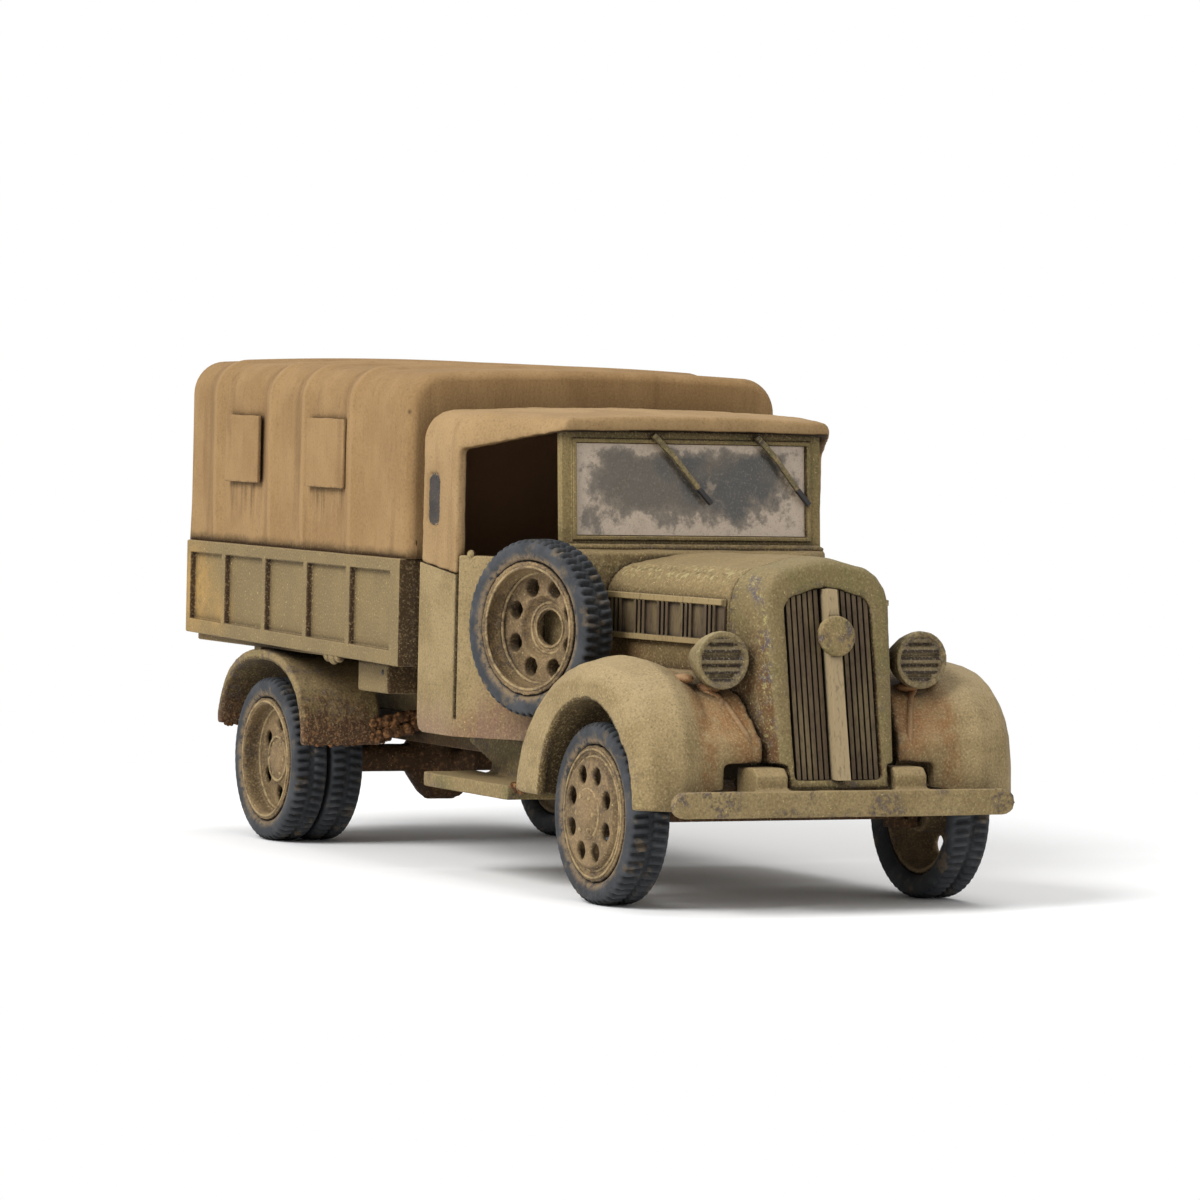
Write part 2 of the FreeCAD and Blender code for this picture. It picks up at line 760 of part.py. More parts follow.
def knuckle():
    """A forked knuckle over the beam's eye, with the spindle that carries the wheel."""
    reach = BEAM_HALF + KNUCKLE_PLATE
    web_in = KNUCKLE_Y + KNUCKLE_EYE_R + SEAT
    web_out = FRONT_WHEEL_Y - FRONT_TYRE_W / 2 + BEAD_IN - WHEEL_CLEARANCE
    spindle_end = FRONT_WHEEL_Y + ring_face(FRONT_TYRE_W) - BLIND_END - SEAT
    fork = box(-BEAM_HALF, BEAM_HALF, KNUCKLE_Y - KNUCKLE_EYE_R, web_out, -reach, reach)
    gap = box(-BEAM_HALF, BEAM_HALF, 0, web_in, -BEAM_HALF, BEAM_HALF)
    spindle = bar(SPINDLE_R, V(0, web_in, 0), V(0, spindle_end, 0), PIN_SIDES)
    return moved(fused([fork.cut(gap), spindle]), 0, 0, AXLE_Z)


def bumper():
    """The front bumper bar with the two horns that carry it on the rails' ends."""
    back = BUMPER_FRONT_X - BUMPER_T
    top = BUMPER_BOTTOM + BUMPER_H
    outline = rounded_box(-BUMPER_HALF, BUMPER_HALF, BUMPER_BOTTOM, top, BUMPER_END_R)
    horn = side_prism([
        (RAIL_FRONT_X, HORN_BOTTOM),
        (back, HORN_BOTTOM),
        (back, HORN_TOP - HORN_FRONT_DROP),
        (back - HORN_FRONT_DROP, HORN_TOP),
        (RAIL_FRONT_X, HORN_TOP),
    ], HORN_IN_Y, HORN_IN_Y + HORN_W)
    return fused([front_prism(outline, back, BUMPER_FRONT_X), horn, mirrored(horn)])


# Cab

def cab_plan(inset):
    """The left half of the cab's outline from the rear wall to the front, moved inwards."""
    across = inset * math.sqrt(1 + DOOR_SLOPE * DOOR_SLOPE)
    corner_x = CAB_CORNER_X - (across - inset) / DOOR_SLOPE
    return [
        (CAB_REAR_X + inset, CAB_HALF - inset),
        (corner_x, CAB_HALF - inset),
        (CAB_FRONT_X, CAB_FRONT_HALF - across),
    ]


def quarter_edge(x0, x1, z1):
    """A side outline that covers what lies above the quarter panel's sloping edge."""
    return [
        (x0, QUARTER_TOP),
        (CAB_REAR_X, QUARTER_TOP),
        (CAB_CORNER_X, QUARTER_TOP - QUARTER_DROP),
        (x1, QUARTER_TOP - QUARTER_DROP),
        (x1, z1),
        (x0, z1),
    ]


def cab_side():
    """The left cab side: an upright quarter panel and the door panel that tapers to the front."""
    outer = cab_plan(0)
    inner = cab_plan(CAB_WALL)
    inner[0] = (CAB_REAR_X, CAB_HALF - CAB_WALL)
    panel = plan_prism(outer + inner[::-1], 0, DOOR_TOP)
    above = side_prism(quarter_edge(CAB_REAR_X - SEAT, CAB_CORNER_X, FAR), 0, FAR)
    seam_y = CAB_HALF - DOOR_SEAM_W - DOOR_SEAM_DEPTH
    seam = box(CAB_CORNER_X, CAB_CORNER_X + DOOR_SEAM_W, seam_y, FAR, DOOR_SEAM_LIFT, DOOR_TOP)
    low = CAB_LOW_CORNER_R
    block = box(CAB_REAR_X - SEAT, CAB_REAR_X + low, 0, FAR, -SEAT, low)
    keep = side_prism([(CAB_REAR_X + low, low)] + corner(CAB_REAR_X + low, low, low, 180), 0, FAR)
    return panel.cut(above).cut(seam).cut(block.cut(keep))


def cab_rear_wall():
    half = CAB_HALF - CAB_WALL
    wall = box(CAB_REAR_X, CAB_REAR_X + CAB_WALL, -half, half, 0, QUARTER_TOP)
    return wall.cut(side_prism(quarter_edge(CAB_REAR_X - SEAT, CAB_CORNER_X, FAR), -FAR, FAR))


def cab_floor():
    edge = cab_plan(CAB_WALL)
    return plan_prism(edge + [(x, -y) for x, y in reversed(edge)], 0, FLOOR_T)


def scuttle():
    side = [
        (CAB_FRONT_X, CAB_FRONT_HALF),
        (SCUTTLE_FLAT_X, SCUTTLE_FLAT_HALF),
        (SCUTTLE_FRONT_X, BONNET_REAR_HALF),
    ]
    block = plan_prism(side + [(x, -y) for x, y in reversed(side)], 0, SCUTTLE_TOP)
    trimmed = side_prism([
        (SCUTTLE_FLAT_X, SCUTTLE_TOP),
        (SCUTTLE_FRONT_X, BONNET_REAR_TOP),
        (SCUTTLE_FRONT_X, FAR),
        (SCUTTLE_FLAT_X, FAR),
    ], -FAR, FAR)
    return block.cut(trimmed)


def bonnet_section(half, top, bottom):
    return arch(half, half, bottom, top, BONNET_SHOULDER_R, BONNET_CROWN)


def bonnet():
    rear = at_x(SCUTTLE_FRONT_X, bonnet_section(BONNET_REAR_HALF, BONNET_REAR_TOP, 0))
    front = at_x(BONNET_FRONT_X, bonnet_section(BONNET_FRONT_HALF, BONNET_FRONT_TOP, 0))
    return skinned([rear, front])


def louvre_panel():
    """The left louvre panel, laid on the bonnet side that tapers towards the nose.

    Groups of narrow slats stand between wider flat plates, under and over two ribs.
    """
    length = LOUVRE_END_X - LOUVRE_START_X
    pieces = [box(0, length, 0, LOUVRE_PLATE, LOUVRE_BOTTOM, LOUVRE_TOP)]
    for z in (LOUVRE_BOTTOM, LOUVRE_TOP - LOUVRE_RIB):
        pieces.append(box(0, length, 0, LOUVRE_PLATE + LOUVRE_PROUD, z, z + LOUVRE_RIB))
    group = (LOUVRE_SLATS - 1) * LOUVRE_SLAT_PITCH + LOUVRE_SLAT_W
    for bay in range(LOUVRE_BAYS):
        first = (bay + 0.5) * length / LOUVRE_BAYS - group / 2
        for slat in range(LOUVRE_SLATS):
            x = first + slat * LOUVRE_SLAT_PITCH
            pieces.append(box(x, x + LOUVRE_SLAT_W, 0, LOUVRE_PLATE + LOUVRE_SLAT_PROUD,
                              LOUVRE_BOTTOM + LOUVRE_RIB, LOUVRE_TOP - LOUVRE_RIB))
    panel = fused(pieces)
    run = BONNET_FRONT_X - SCUTTLE_FRONT_X
    slope = (BONNET_REAR_HALF - BONNET_FRONT_HALF) / run
    panel.rotate(V(0, 0, 0), V(0, 0, 1), -math.degrees(math.atan(slope)))
    start_y = BONNET_REAR_HALF - slope * (LOUVRE_START_X - SCUTTLE_FRONT_X)
    return moved(panel, LOUVRE_START_X, start_y, 0)


# Nose

def raked_x(z):
    return NOSE_FACE_TOP_X + (NOSE_FACE_TOP_Z - z) * NOSE_RAKE


def on_rake(back, outline_yz):
    """Lays an outline on a plane parallel to the raked face and this far behind it."""
    return [V(raked_x(z) - back, y, z) for y, z in outline_yz]


def grille_shell():
    """A shell from the bonnet's front to a raked face with a rounded edge and an arched opening."""
    outlines = [at_x(BONNET_FRONT_X, bonnet_section(BONNET_FRONT_HALF, BONNET_FRONT_TOP, NOSE_BOTTOM))]
    for step in range(CORNER_STEPS + 1):
        turn = math.radians(90 * step / CORNER_STEPS)
        grow = NOSE_ROUND * math.cos(turn)
        back = NOSE_ROUND * (1 - math.sin(turn))
        section = arch(NOSE_HALF + grow, NOSE_LOW_HALF + grow, NOSE_BOTTOM, NOSE_TOP + grow,
                       NOSE_SHOULDER_R + grow, NOSE_CROWN)
        outlines.append(on_rake(back, section))
    shell = skinned(outlines)
    rail_room = box(-FAR, FAR, RAIL_IN_Y - SEAT, FAR, -FAR, 0)
    opening = arch(GRILLE_HALF, GRILLE_HALF, GRILLE_BOTTOM, GRILLE_TOP, GRILLE_CORNER_R, GRILLE_CROWN)
    cut = skinned([on_rake(GRILLE_DEPTH, opening), on_rake(-GRILLE_DEPTH, opening)])
    return shell.cut(rail_room).cut(mirrored(rail_room)).cut(cut)


def grille():
    """A back plate with upright bars that follow the rake and the arch, and a tapered prow bar."""
    half = GRILLE_HALF - SEAT
    front = GRILLE_DEPTH - GRILLE_BACK_T - GRILLE_BAR_DEPTH
    outline = arch(half, half, GRILLE_BOTTOM + SEAT, GRILLE_TOP - SEAT, GRILLE_CORNER_R, GRILLE_CROWN)
    plate = skinned([on_rake(GRILLE_DEPTH, outline), on_rake(GRILLE_DEPTH - GRILLE_BACK_T, outline)])
    zone = skinned([on_rake(GRILLE_DEPTH, outline), on_rake(front, outline)])
    proud = skinned([on_rake(GRILLE_DEPTH, outline), on_rake(-GRILLE_CENTRE_PROUD, outline)])
    middle = front_prism([
        (-GRILLE_CENTRE_LOW_W / 2, GRILLE_BOTTOM),
        (GRILLE_CENTRE_LOW_W / 2, GRILLE_BOTTOM),
        (GRILLE_CENTRE_TOP_W / 2, GRILLE_TOP),
        (-GRILLE_CENTRE_TOP_W / 2, GRILLE_TOP),
    ], 0, FAR)
    start = GRILLE_CENTRE_LOW_W / 2
    pitch = (half - start) / (GRILLE_BARS_PER_SIDE + 0.5)
    strips = []
    for index in range(GRILLE_BARS_PER_SIDE):
        y = start + (index + 0.75) * pitch
        strip = box(0, FAR, y - GRILLE_BAR_W / 2, y + GRILLE_BAR_W / 2, GRILLE_BOTTOM, FAR)
        strips += [strip, mirrored(strip)]
    bars = [zone.common(strip) for strip in strips]
    return fused([plate, proud.common(middle)] + bars)


def nose_boss():
    """A plain round boss with an eased edge on the prow bar."""
    lean = math.degrees(math.atan(NOSE_RAKE))
    boss = turned([
        (0, 0),
        (BOSS_R, 0),
        (BOSS_R, BOSS_T - BOSS_EDGE),
        (BOSS_R - BOSS_EDGE, BOSS_T),
        (0, BOSS_T),
    ], ROUND_SIDES)
    boss.rotate(V(0, 0, 0), V(0, 0, 1), -90)
    boss.rotate(V(0, 0, 0), V(0, 1, 0), -lean)
    return moved(boss, raked_x(BOSS_Z) + GRILLE_CENTRE_PROUD, 0, BOSS_Z)


# Windscreen

def screen_x(z):
    return SCREEN_BOTTOM_X - (z - SCUTTLE_TOP) * SCREEN_LEAN


def leaning_plate(front, thickness, half, z0, z1):
    return side_prism([
        (screen_x(z0) + front, z0),
        (screen_x(z1) + front, z1),
        (screen_x(z1) + front - thickness, z1),
        (screen_x(z0) + front - thickness, z0),
    ], -half, half)


def windscreen_frame():
    """A plate frame with a raised bead round its window."""
    plate = leaning_plate(0, SCREEN_T, SCREEN_HALF, SCUTTLE_TOP, SCREEN_TOP)
    bead = leaning_plate(BEAD_PROUD, BEAD_PROUD, PANE_HALF + BEAD_W, PANE_BOTTOM - BEAD_W, PANE_TOP + BEAD_W)
    window = box(-FAR, FAR, -PANE_HALF, PANE_HALF, PANE_BOTTOM, PANE_TOP)
    return fused([plate, bead]).cut(window)


def windscreen_pane():
    back = (PANE_T - SCREEN_T) / 2
    return leaning_plate(back, PANE_T, PANE_HALF - SEAT, PANE_BOTTOM + SEAT, PANE_TOP - SEAT)


def wiper(top_y, tip_y):
    """A straight square arm across the pane, from the frame's head."""
    top_z = SCREEN_TOP - WIPER_TOP_DOWN
    tip_z = PANE_BOTTOM + WIPER_TIP_UP
    front = BEAD_PROUD + WIPER_W
    near = []
    for y, z in ((top_y, top_z), (tip_y, tip_z)):
        near.append([
            V(screen_x(z) + BEAD_PROUD, y - WIPER_W / 2, z),
            V(screen_x(z) + BEAD_PROUD, y + WIPER_W / 2, z),
            V(screen_x(z) + front, y + WIPER_W / 2, z),
            V(screen_x(z) + front, y - WIPER_W / 2, z),
        ])
    return skinned(near)


# Cab canvas top

def hoop(inset, bottom):
    half = CAB_HALF - inset
    return arch(half, half, bottom, TOP_HOOP_Z - inset, TOP_CORNER_R - inset, TOP_CROWN)


def front_hoop(inset, drop, bottom):
    return arch(TOP_FRONT_HALF - inset, TOP_FRONT_HALF - inset, bottom, TOP_FRONT_PEAK_Z - drop,
                TOP_FRONT_CORNER_R - inset, TOP_FRONT_CROWN)


def cab_canvas_top():
    """A canvas shell: a hooped quarter behind the doors and a roof that runs to the windscreen."""
    wall = CANVAS_T
    low = QUARTER_TOP - QUARTER_DROP
    quarter = skinned([
        at_x(CAB_REAR_X, hoop(TOP_REAR_ROUND, low)),
        at_x(CAB_REAR_X + TOP_REAR_ROUND, hoop(0, low)),
        at_x(CAB_CORNER_X, hoop(0, low)),
    ])
    above = side_prism(quarter_edge(CAB_REAR_X - SEAT, CAB_CORNER_X + SEAT, FAR), -FAR, FAR)
    hollow = skinned([at_x(CAB_REAR_X + wall, hoop(wall, low)), at_x(CAB_CORNER_X, hoop(wall, low))])
    roof = skinned([
        at_x(CAB_CORNER_X, hoop(0, TOP_SIDE_Z)),
        at_x(TOP_FRONT_X, front_hoop(0, 0, TOP_FRONT_SIDE_Z - TOP_FRONT_HEM)),
    ])
    under = skinned([
        at_x(CAB_CORNER_X, hoop(wall, TOP_SIDE_Z - wall)),
        at_x(TOP_FRONT_X, front_hoop(TOP_FRONT_WALL, TOP_LIP_H, TOP_SIDE_Z - wall)),
    ])
    window_x = QUARTER_WINDOW_X - QUARTER_WINDOW_W / 2
    window_z = QUARTER_WINDOW_BOTTOM
    outline = rounded_box(window_x, window_x + QUARTER_WINDOW_W, window_z, window_z + QUARTER_WINDOW_H,
                          QUARTER_WINDOW_R)
    recess = side_prism(outline, CAB_HALF - QUARTER_WINDOW_DEPTH, FAR)
    screen_room = leaning_plate(SEAT, SCREEN_T + 2 * SEAT, SCREEN_HALF + SEAT, TOP_SIDE_Z, SCREEN_TOP + SEAT)
    shell = fused([quarter.common(above), roof]).cut(hollow).cut(under).cut(screen_room)
    return shell.cut(recess).cut(mirrored(recess))


# Cab inside

def bench_seat():
    rear = CAB_REAR_X + CAB_WALL
    base = box(rear, SEAT_FRONT_X, -SEAT_HALF, SEAT_HALF, FLOOR_T, SEAT_TOP)
    back = box(rear, rear + SEAT_BACK_T, -SEAT_HALF, SEAT_HALF, FLOOR_T, SEAT_BACK_TOP)
    return fused([base, back])


def steering_wheel():
    """The wheel, its two spokes and the column that comes from the scuttle."""
    low = STEERING_R - STEERING_RIM_R
    high = STEERING_R + STEERING_RIM_R
    rim = turned([
        (low, 0),
        (STEERING_R, -STEERING_RIM_R),
        (high, 0),
        (STEERING_R, STEERING_RIM_R),
    ], ROUND_SIDES)
    spoke = bar(SPOKE_R, V(-STEERING_R, 0, 0), V(STEERING_R, 0, 0), HOLE_SIDES)
    lean = math.radians(COLUMN_TILT)
    reach = (CAB_FRONT_X - WHEEL_X) / math.cos(lean) - COLUMN_R
    column = bar(COLUMN_R, V(0, 0, 0), V(0, reach, 0), HOLE_SIDES)
    wheel = fused([rim, spoke, column])
    wheel.rotate(V(0, 0, 0), V(0, 0, 1), -90)
    wheel.rotate(V(0, 0, 0), V(0, 1, 0), COLUMN_TILT)
    return moved(wheel, WHEEL_X, WHEEL_Y, WHEEL_Z)


# Fenders

def crest_line(middle_x, rear, front, bottom, height):
    """A full-cornered half ellipse (x, z) from its rear foot over the top to its front foot.

    Each half has its own length and fullness.
    """
    points = []
    for step in range(CREST_STEPS + 1):
        turn = math.pi * (1 - step / CREST_STEPS)
        half_l, fullness = rear if math.cos(turn) < 0 else front
        across = math.copysign(abs(math.cos(turn)) ** (2 / fullness), math.cos(turn))
        up = abs(math.sin(turn)) ** (2 / fullness)
        points.append((middle_x + half_l * across, bottom + height * up))
    return points


def set_in(points, depth):
    """The same line moved inwards by a depth, with its feet kept at their height."""
    moved_in = []
    last = len(points) - 1
    for index, (x, z) in enumerate(points):
        x0, z0 = points[max(index - 1, 0)]
        x1, z1 = points[min(index + 1, last)]
        length = math.hypot(x1 - x0, z1 - z0)
        foot = index in (0, last)
        nx = math.copysign(1, z1 - z0) if foot else (z1 - z0) / length
        nz = 0 if foot else -(x1 - x0) / length
        moved_in.append((x + nx * depth, z + nz * depth))
    return moved_in


def front_fender():
    """The left front fender, crowned along its crest line, with the catwalk beside the bonnet."""
    height = FENDER_CREST - FENDER_BOTTOM
    rear = (FENDER_REAR_L, FENDER_REAR_FULLNESS)
    front = (FENDER_FRONT_L, FENDER_FRONT_FULLNESS)
    crest = crest_line(FENDER_MIDDLE_X, rear, front, FENDER_BOTTOM, height)
    outlines = []
    for y, depth in ((FENDER_IN_Y, FENDER_IN_DEPTH), (FENDER_CROWN_Y, 0), (FENDER_TURN_Y, FENDER_TURN_DEPTH),
                     (FENDER_EDGE_Y, FENDER_EDGE_DEPTH), (FENDER_OUT_Y, FENDER_OUT_DEPTH)):
        outlines.append([V(x, y, z) for x, z in set_in(crest, depth)])
    crown = skinned(outlines)
    upper = side_prism([
        (SCUTTLE_FRONT_X, 0),
        (SCUTTLE_FRONT_X, CATWALK_TOP),
        (CATWALK_REAR_FLAT_X, CATWALK_TOP),
        (CATWALK_SHOULDER_X, CATWALK_SHOULDER_Z),
        (CATWALK_FRONT_X, CATWALK_KNEE_Z),
        (CATWALK_FRONT_X, 0),
    ], 0, FENDER_IN_Y + CATWALK_OVER)
    lower_x = CATWALK_FRONT_X - CATWALK_LOW_DEPTH
    out = FENDER_IN_Y + CATWALK_OVER
    lower = box(lower_x, CATWALK_FRONT_X, CATWALK_LOW_Y, out, CATWALK_LOW_Z, 0)
    beside = plan_prism([
        (SCUTTLE_FRONT_X, BONNET_REAR_HALF + SEAT),
        (BONNET_FRONT_X, BONNET_FRONT_HALF + SEAT),
        (raked_x(0), NOSE_HALF + NOSE_ROUND + SEAT),
        (FAR, NOSE_HALF + NOSE_ROUND + SEAT),
        (FAR, FAR),
        (SCUTTLE_FRONT_X, FAR),
    ], -FAR, FAR)
    whole = fused([crown, upper.common(beside), lower])
    well = bar(WELL_R, V(0, 0, AXLE_Z), V(0, FENDER_OUT_Y - FENDER_SKIN, AXLE_Z), WHEEL_SIDES)
    arch_cut = bar(ARCH_R, V(ARCH_X, 0, ARCH_Z), V(ARCH_X, FAR, ARCH_Z), WHEEL_SIDES)
    below = box(ARCH_X - ARCH_R, ARCH_X + ARCH_R, 0, FAR, -FAR, ARCH_Z)
    return whole.cut(well).cut(arch_cut).cut(below)


def rear_fender():
    """A bent sheet over the twin wheels, from its rear foot to its front foot."""
    half = ((REAR_FENDER_FRONT_X - REAR_FENDER_REAR_X) / 2, REAR_FENDER_FULLNESS)
    middle = (REAR_FENDER_FRONT_X + REAR_FENDER_REAR_X) / 2
    low = min(REAR_FENDER_REAR_Z, REAR_FENDER_FRONT_Z)
    crest = crest_line(middle, half, half, low, REAR_FENDER_TOP - low)
    sheet = side_prism(crest + set_in(crest, REAR_FENDER_T)[::-1], REAR_FENDER_IN_Y, REAR_FENDER_OUT_Y)
    return sheet.cut(box(-FAR, middle, 0, FAR, low - REAR_FENDER_T, REAR_FENDER_REAR_Z))


# Headlamp and running board

def headlamp():
    """A bullet lamp with a slotted cover over its glass, on a short stalk."""
    glass_r = LAMP_R - LAMP_RIM
    shell = turned([
        (0, -LAMP_GLASS_IN),
        (glass_r, -LAMP_GLASS_IN),
        (glass_r, 0),
        (LAMP_R, 0),
        (LAMP_R, -LAMP_RIM_L),
        (LAMP_WAIST_R, -LAMP_WAIST_BACK),
        (LAMP_TAIL_R, -LAMP_TAIL_BACK),
        (0, -LAMP_L),
    ], ROUND_SIDES)
    pitch = 2 * glass_r / (LAMP_SLOTS + 0.6)
    for index in range(LAMP_SLOTS):
        z = (index - (LAMP_SLOTS - 1) / 2) * pitch
        reach = math.sqrt(glass_r * glass_r - (abs(z) + LAMP_SLOT_H) ** 2)
        low = z - LAMP_SLOT_H / 2
        shell = shell.cut(box(-reach, reach, -LAMP_GLASS_IN - LAMP_SLOT_DEPTH, 0, low, low + LAMP_SLOT_H))
    shell.rotate(V(0, 0, 0), V(0, 0, 1), -90)
    stalk_x = LAMP_FRONT_X - LAMP_L / 2
    stalk = bar(LAMP_STALK_R, V(stalk_x, LAMP_Y, 0), V(stalk_x, LAMP_Y, LAMP_Z), HOLE_SIDES)
    return fused([moved(shell, LAMP_FRONT_X, LAMP_Y, LAMP_Z), stalk])


def running_board():
    """The board with its rounded rear end, the splash panel above it and the two arms that carry it."""
    out = CAB_HALF - BOARD_SIDE_IN
    rounded = corner(CAB_REAR_X + BOARD_END_R, out - BOARD_END_R, BOARD_END_R, 90)
    outline = [(BOARD_END_X, out)] + rounded + [(CAB_REAR_X, BOARD_IN_Y), (BOARD_END_X, BOARD_IN_Y)]
    tread = plan_prism(outline, BOARD_BOTTOM, BOARD_BOTTOM + BOARD_T)
    splash = side_prism([
        (CAB_REAR_X, 0),
        (CAB_REAR_X, -SPLASH_REAR_H),
        (SPLASH_KNEE_X, BOARD_BOTTOM),
        (BOARD_END_X, BOARD_BOTTOM),
        (BOARD_END_X, 0),
    ], BOARD_IN_Y, BOARD_IN_Y + SPLASH_T)
    pieces = [tread, splash]
    for x in (CAB_REAR_X + BOARD_ARM_REAR_IN, BOARD_END_X - BOARD_ARM_FRONT_IN - BOARD_ARM_W):
        pieces.append(box(x, x + BOARD_ARM_W, RAIL_OUT_Y, BOARD_IN_Y,
                          BOARD_BOTTOM + BOARD_ARM_UP, BOARD_ARM_LAP - RAIL_H))
    return fused(pieces)


# Cargo bed

def bed_floor():
    """The planked floor between the end boards, on its bearers and the sleepers along the rails.

    A bearer is notched where a toolbox hangs.
    """
    rear = BED_REAR_X + END_BOARD_T
    front = BED_FRONT_X - END_BOARD_T
    pieces = [box(rear, front, -BED_IN_Y, BED_IN_Y, BED_FLOOR_BOTTOM, BED_FLOOR_TOP)]
    middle = REAR_FENDER_FRONT_X + BEARER_FROM_FENDER
    reach = BED_IN_Y - BEARER_SIDE_IN
    for x in (BED_REAR_X + BEARER_FROM_END, middle, BED_FRONT_X - BEARER_FROM_END):
        pieces.append(box(x - BEARER_W / 2, x + BEARER_W / 2, -reach, reach,
                          BED_FLOOR_BOTTOM - BEARER_H, BED_FLOOR_BOTTOM))
    sleeper = box(RAIL_REAR_X, front, RAIL_IN_Y, RAIL_OUT_Y, 0, BED_FLOOR_BOTTOM)
    whole = fused(pieces + [sleeper, mirrored(sleeper)])
    for index in range(PLANK_GROOVES):
        y = (index + 1) * 2 * BED_IN_Y / (PLANK_GROOVES + 1) - BED_IN_Y
        whole = whole.cut(box(rear, front, y - PLANK_GROOVE_W / 2, y + PLANK_GROOVE_W / 2,
                              BED_FLOOR_TOP - PLANK_GROOVE_DEPTH, FAR))
    return whole.cut(both_sides(toolbox()))


def bed_bottom(x):
    share = (x - BED_REAR_X) / (BED_FRONT_X - BED_REAR_X)
    return BED_BOTTOM_REAR + share * (BED_BOTTOM_FRONT - BED_BOTTOM_REAR)


def bed_strip(top, y0, y1):
    """A piece along the whole left side, from its sloping lower edge up to a height above it."""
    return side_prism([
        (BED_REAR_X, BED_BOTTOM_REAR),
        (BED_FRONT_X, BED_BOTTOM_FRONT),
        (BED_FRONT_X, BED_BOTTOM_FRONT + top),
        (BED_REAR_X, BED_BOTTOM_REAR + top),
    ], y0, y1)


def post_spans():
    """Where the side's posts stand: one at each end, and the rest at an even pitch."""
    spans = [(BED_FRONT_X - END_POST_W, BED_FRONT_X), (BED_REAR_X, BED_REAR_X + POST_W)]
    x = BED_FRONT_X - POST_FROM_FRONT
    while x > BED_REAR_X + POST_PITCH / 2:
        spans.append((x - POST_W / 2, x + POST_W / 2))
        x -= POST_PITCH
    return spans


def bed_side():
    """The left dropside: a board framed by a top rail, a bottom rail and posts."""
    board = side_prism([
        (BED_REAR_X, BED_BOTTOM_REAR),
        (BED_FRONT_X, BED_BOTTOM_FRONT),
        (BED_FRONT_X, BED_TOP),
        (BED_REAR_X, BED_TOP),
    ], BED_IN_Y, BED_BOARD_Y)
    pieces = [board, bed_strip(BOTTOM_RAIL_H, BED_IN_Y, BED_HALF)]
    pieces.append(box(BED_REAR_X, BED_FRONT_X, BED_IN_Y, BED_HALF, BED_TOP - TOP_RAIL_H, BED_TOP))
    for x0, x1 in post_spans():
        pieces.append(box(x0, x1, BED_IN_Y, BED_HALF, bed_bottom(x0), BED_TOP))
    return fused(pieces)


def end_board(board_x, strip_x):
    """An end wall of the bed, its board and its framing starting at these two places."""
    half = BED_IN_Y
    low = BED_FLOOR_BOTTOM
    strip_end = strip_x + STRIP_PROUD
    pieces = [
        box(board_x, board_x + BOARD_THICK, -half, half, low, BED_TOP),
        box(strip_x, strip_end, -half, half, BED_TOP - TOP_RAIL_H, BED_TOP),
        box(strip_x, strip_end, -half, half, low, low + BOTTOM_RAIL_H),
    ]
    for y in (-half, -half / 3 - POST_W / 2, half / 3 - POST_W / 2, half - POST_W):
        pieces.append(box(strip_x, strip_end, y, y + POST_W, low, BED_TOP))
    return fused(pieces)


def headboard():
    return end_board(BED_FRONT_X - END_BOARD_T, BED_FRONT_X - STRIP_PROUD)


def tailgate():
    return end_board(BED_REAR_X + STRIP_PROUD, BED_REAR_X)


def toolbox():
    """A box under the bed, midway between the rear fender and the bed's front."""
    middle = (REAR_FENDER_FRONT_X + BED_FRONT_X) / 2
    out = BED_HALF - TOOLBOX_SIDE_IN
    return box(middle - TOOLBOX_L / 2, middle + TOOLBOX_L / 2, out - TOOLBOX_D, out,
               BED_FLOOR_BOTTOM - TOOLBOX_H, BED_FLOOR_BOTTOM)


# Canopy

def canopy_arch(x, inset):
    """The canopy's arch at x, a little higher to the rear; drawn in, or below zero lifted by a bow."""
    half = CANOPY_HALF - inset
    share = (CANOPY_FRONT_X - x) / (CANOPY_FRONT_X - CANOPY_REAR_X)
    top = CANOPY_TOP + CANOPY_REAR_RISE * share - inset
    return at_x(x, arch(half, half, BED_TOP, top, CANOPY_CORNER_R - inset, CANOPY_CROWN))


def canopy_stations():
    """Places along the canopy with how far its canvas is drawn in: rounded ends, bows and sags."""
    ends = CANOPY_ROUND
    eased = ends * (1 - math.sin(math.radians(45)))
    stations = [(CANOPY_REAR_X, ends), (CANOPY_REAR_X + eased, eased), (CANOPY_REAR_X + ends, 0)]
    before = CANOPY_REAR_X + ends
    for x in BOW_X:
        stations.append(((before + x) / 2, CANVAS_SAG))
        stations.append((x - BOW_W / 2, 0))
        stations.append((x, -BOW_PROUD))
        stations.append((x + BOW_W / 2, 0))
        before = x
    front = CANOPY_FRONT_X
    stations.append(((before + front) / 2, CANVAS_SAG))
    return stations + [(front - ends, 0), (front - eased, eased), (front, ends)]


def canopy():
    """One canvas shell over the bed, closed in front, open behind, lifted by each bow."""
    wall = CANOPY_WALL
    outer = skinned([canopy_arch(x, inset) for x, inset in canopy_stations()])
    mouth = CANOPY_ROUND + wall
    inner = skinned([
        canopy_arch(CANOPY_REAR_X, mouth),
        canopy_arch(CANOPY_REAR_X + CANOPY_ROUND, wall + CANVAS_SAG),
        canopy_arch(CANOPY_FRONT_X - CANOPY_ROUND, wall + CANVAS_SAG),
    ])
    return outer.cut(inner)


def window_flaps():
    flaps = []
    for x0, x1 in FLAP_SPANS:
        left = box(x0, x1, CANOPY_HALF, CANOPY_HALF + FLAP_T, FLAP_BOTTOM, FLAP_TOP)
        flaps += [left, mirrored(left)]
    return Part.makeCompound(flaps)


# The whole truck

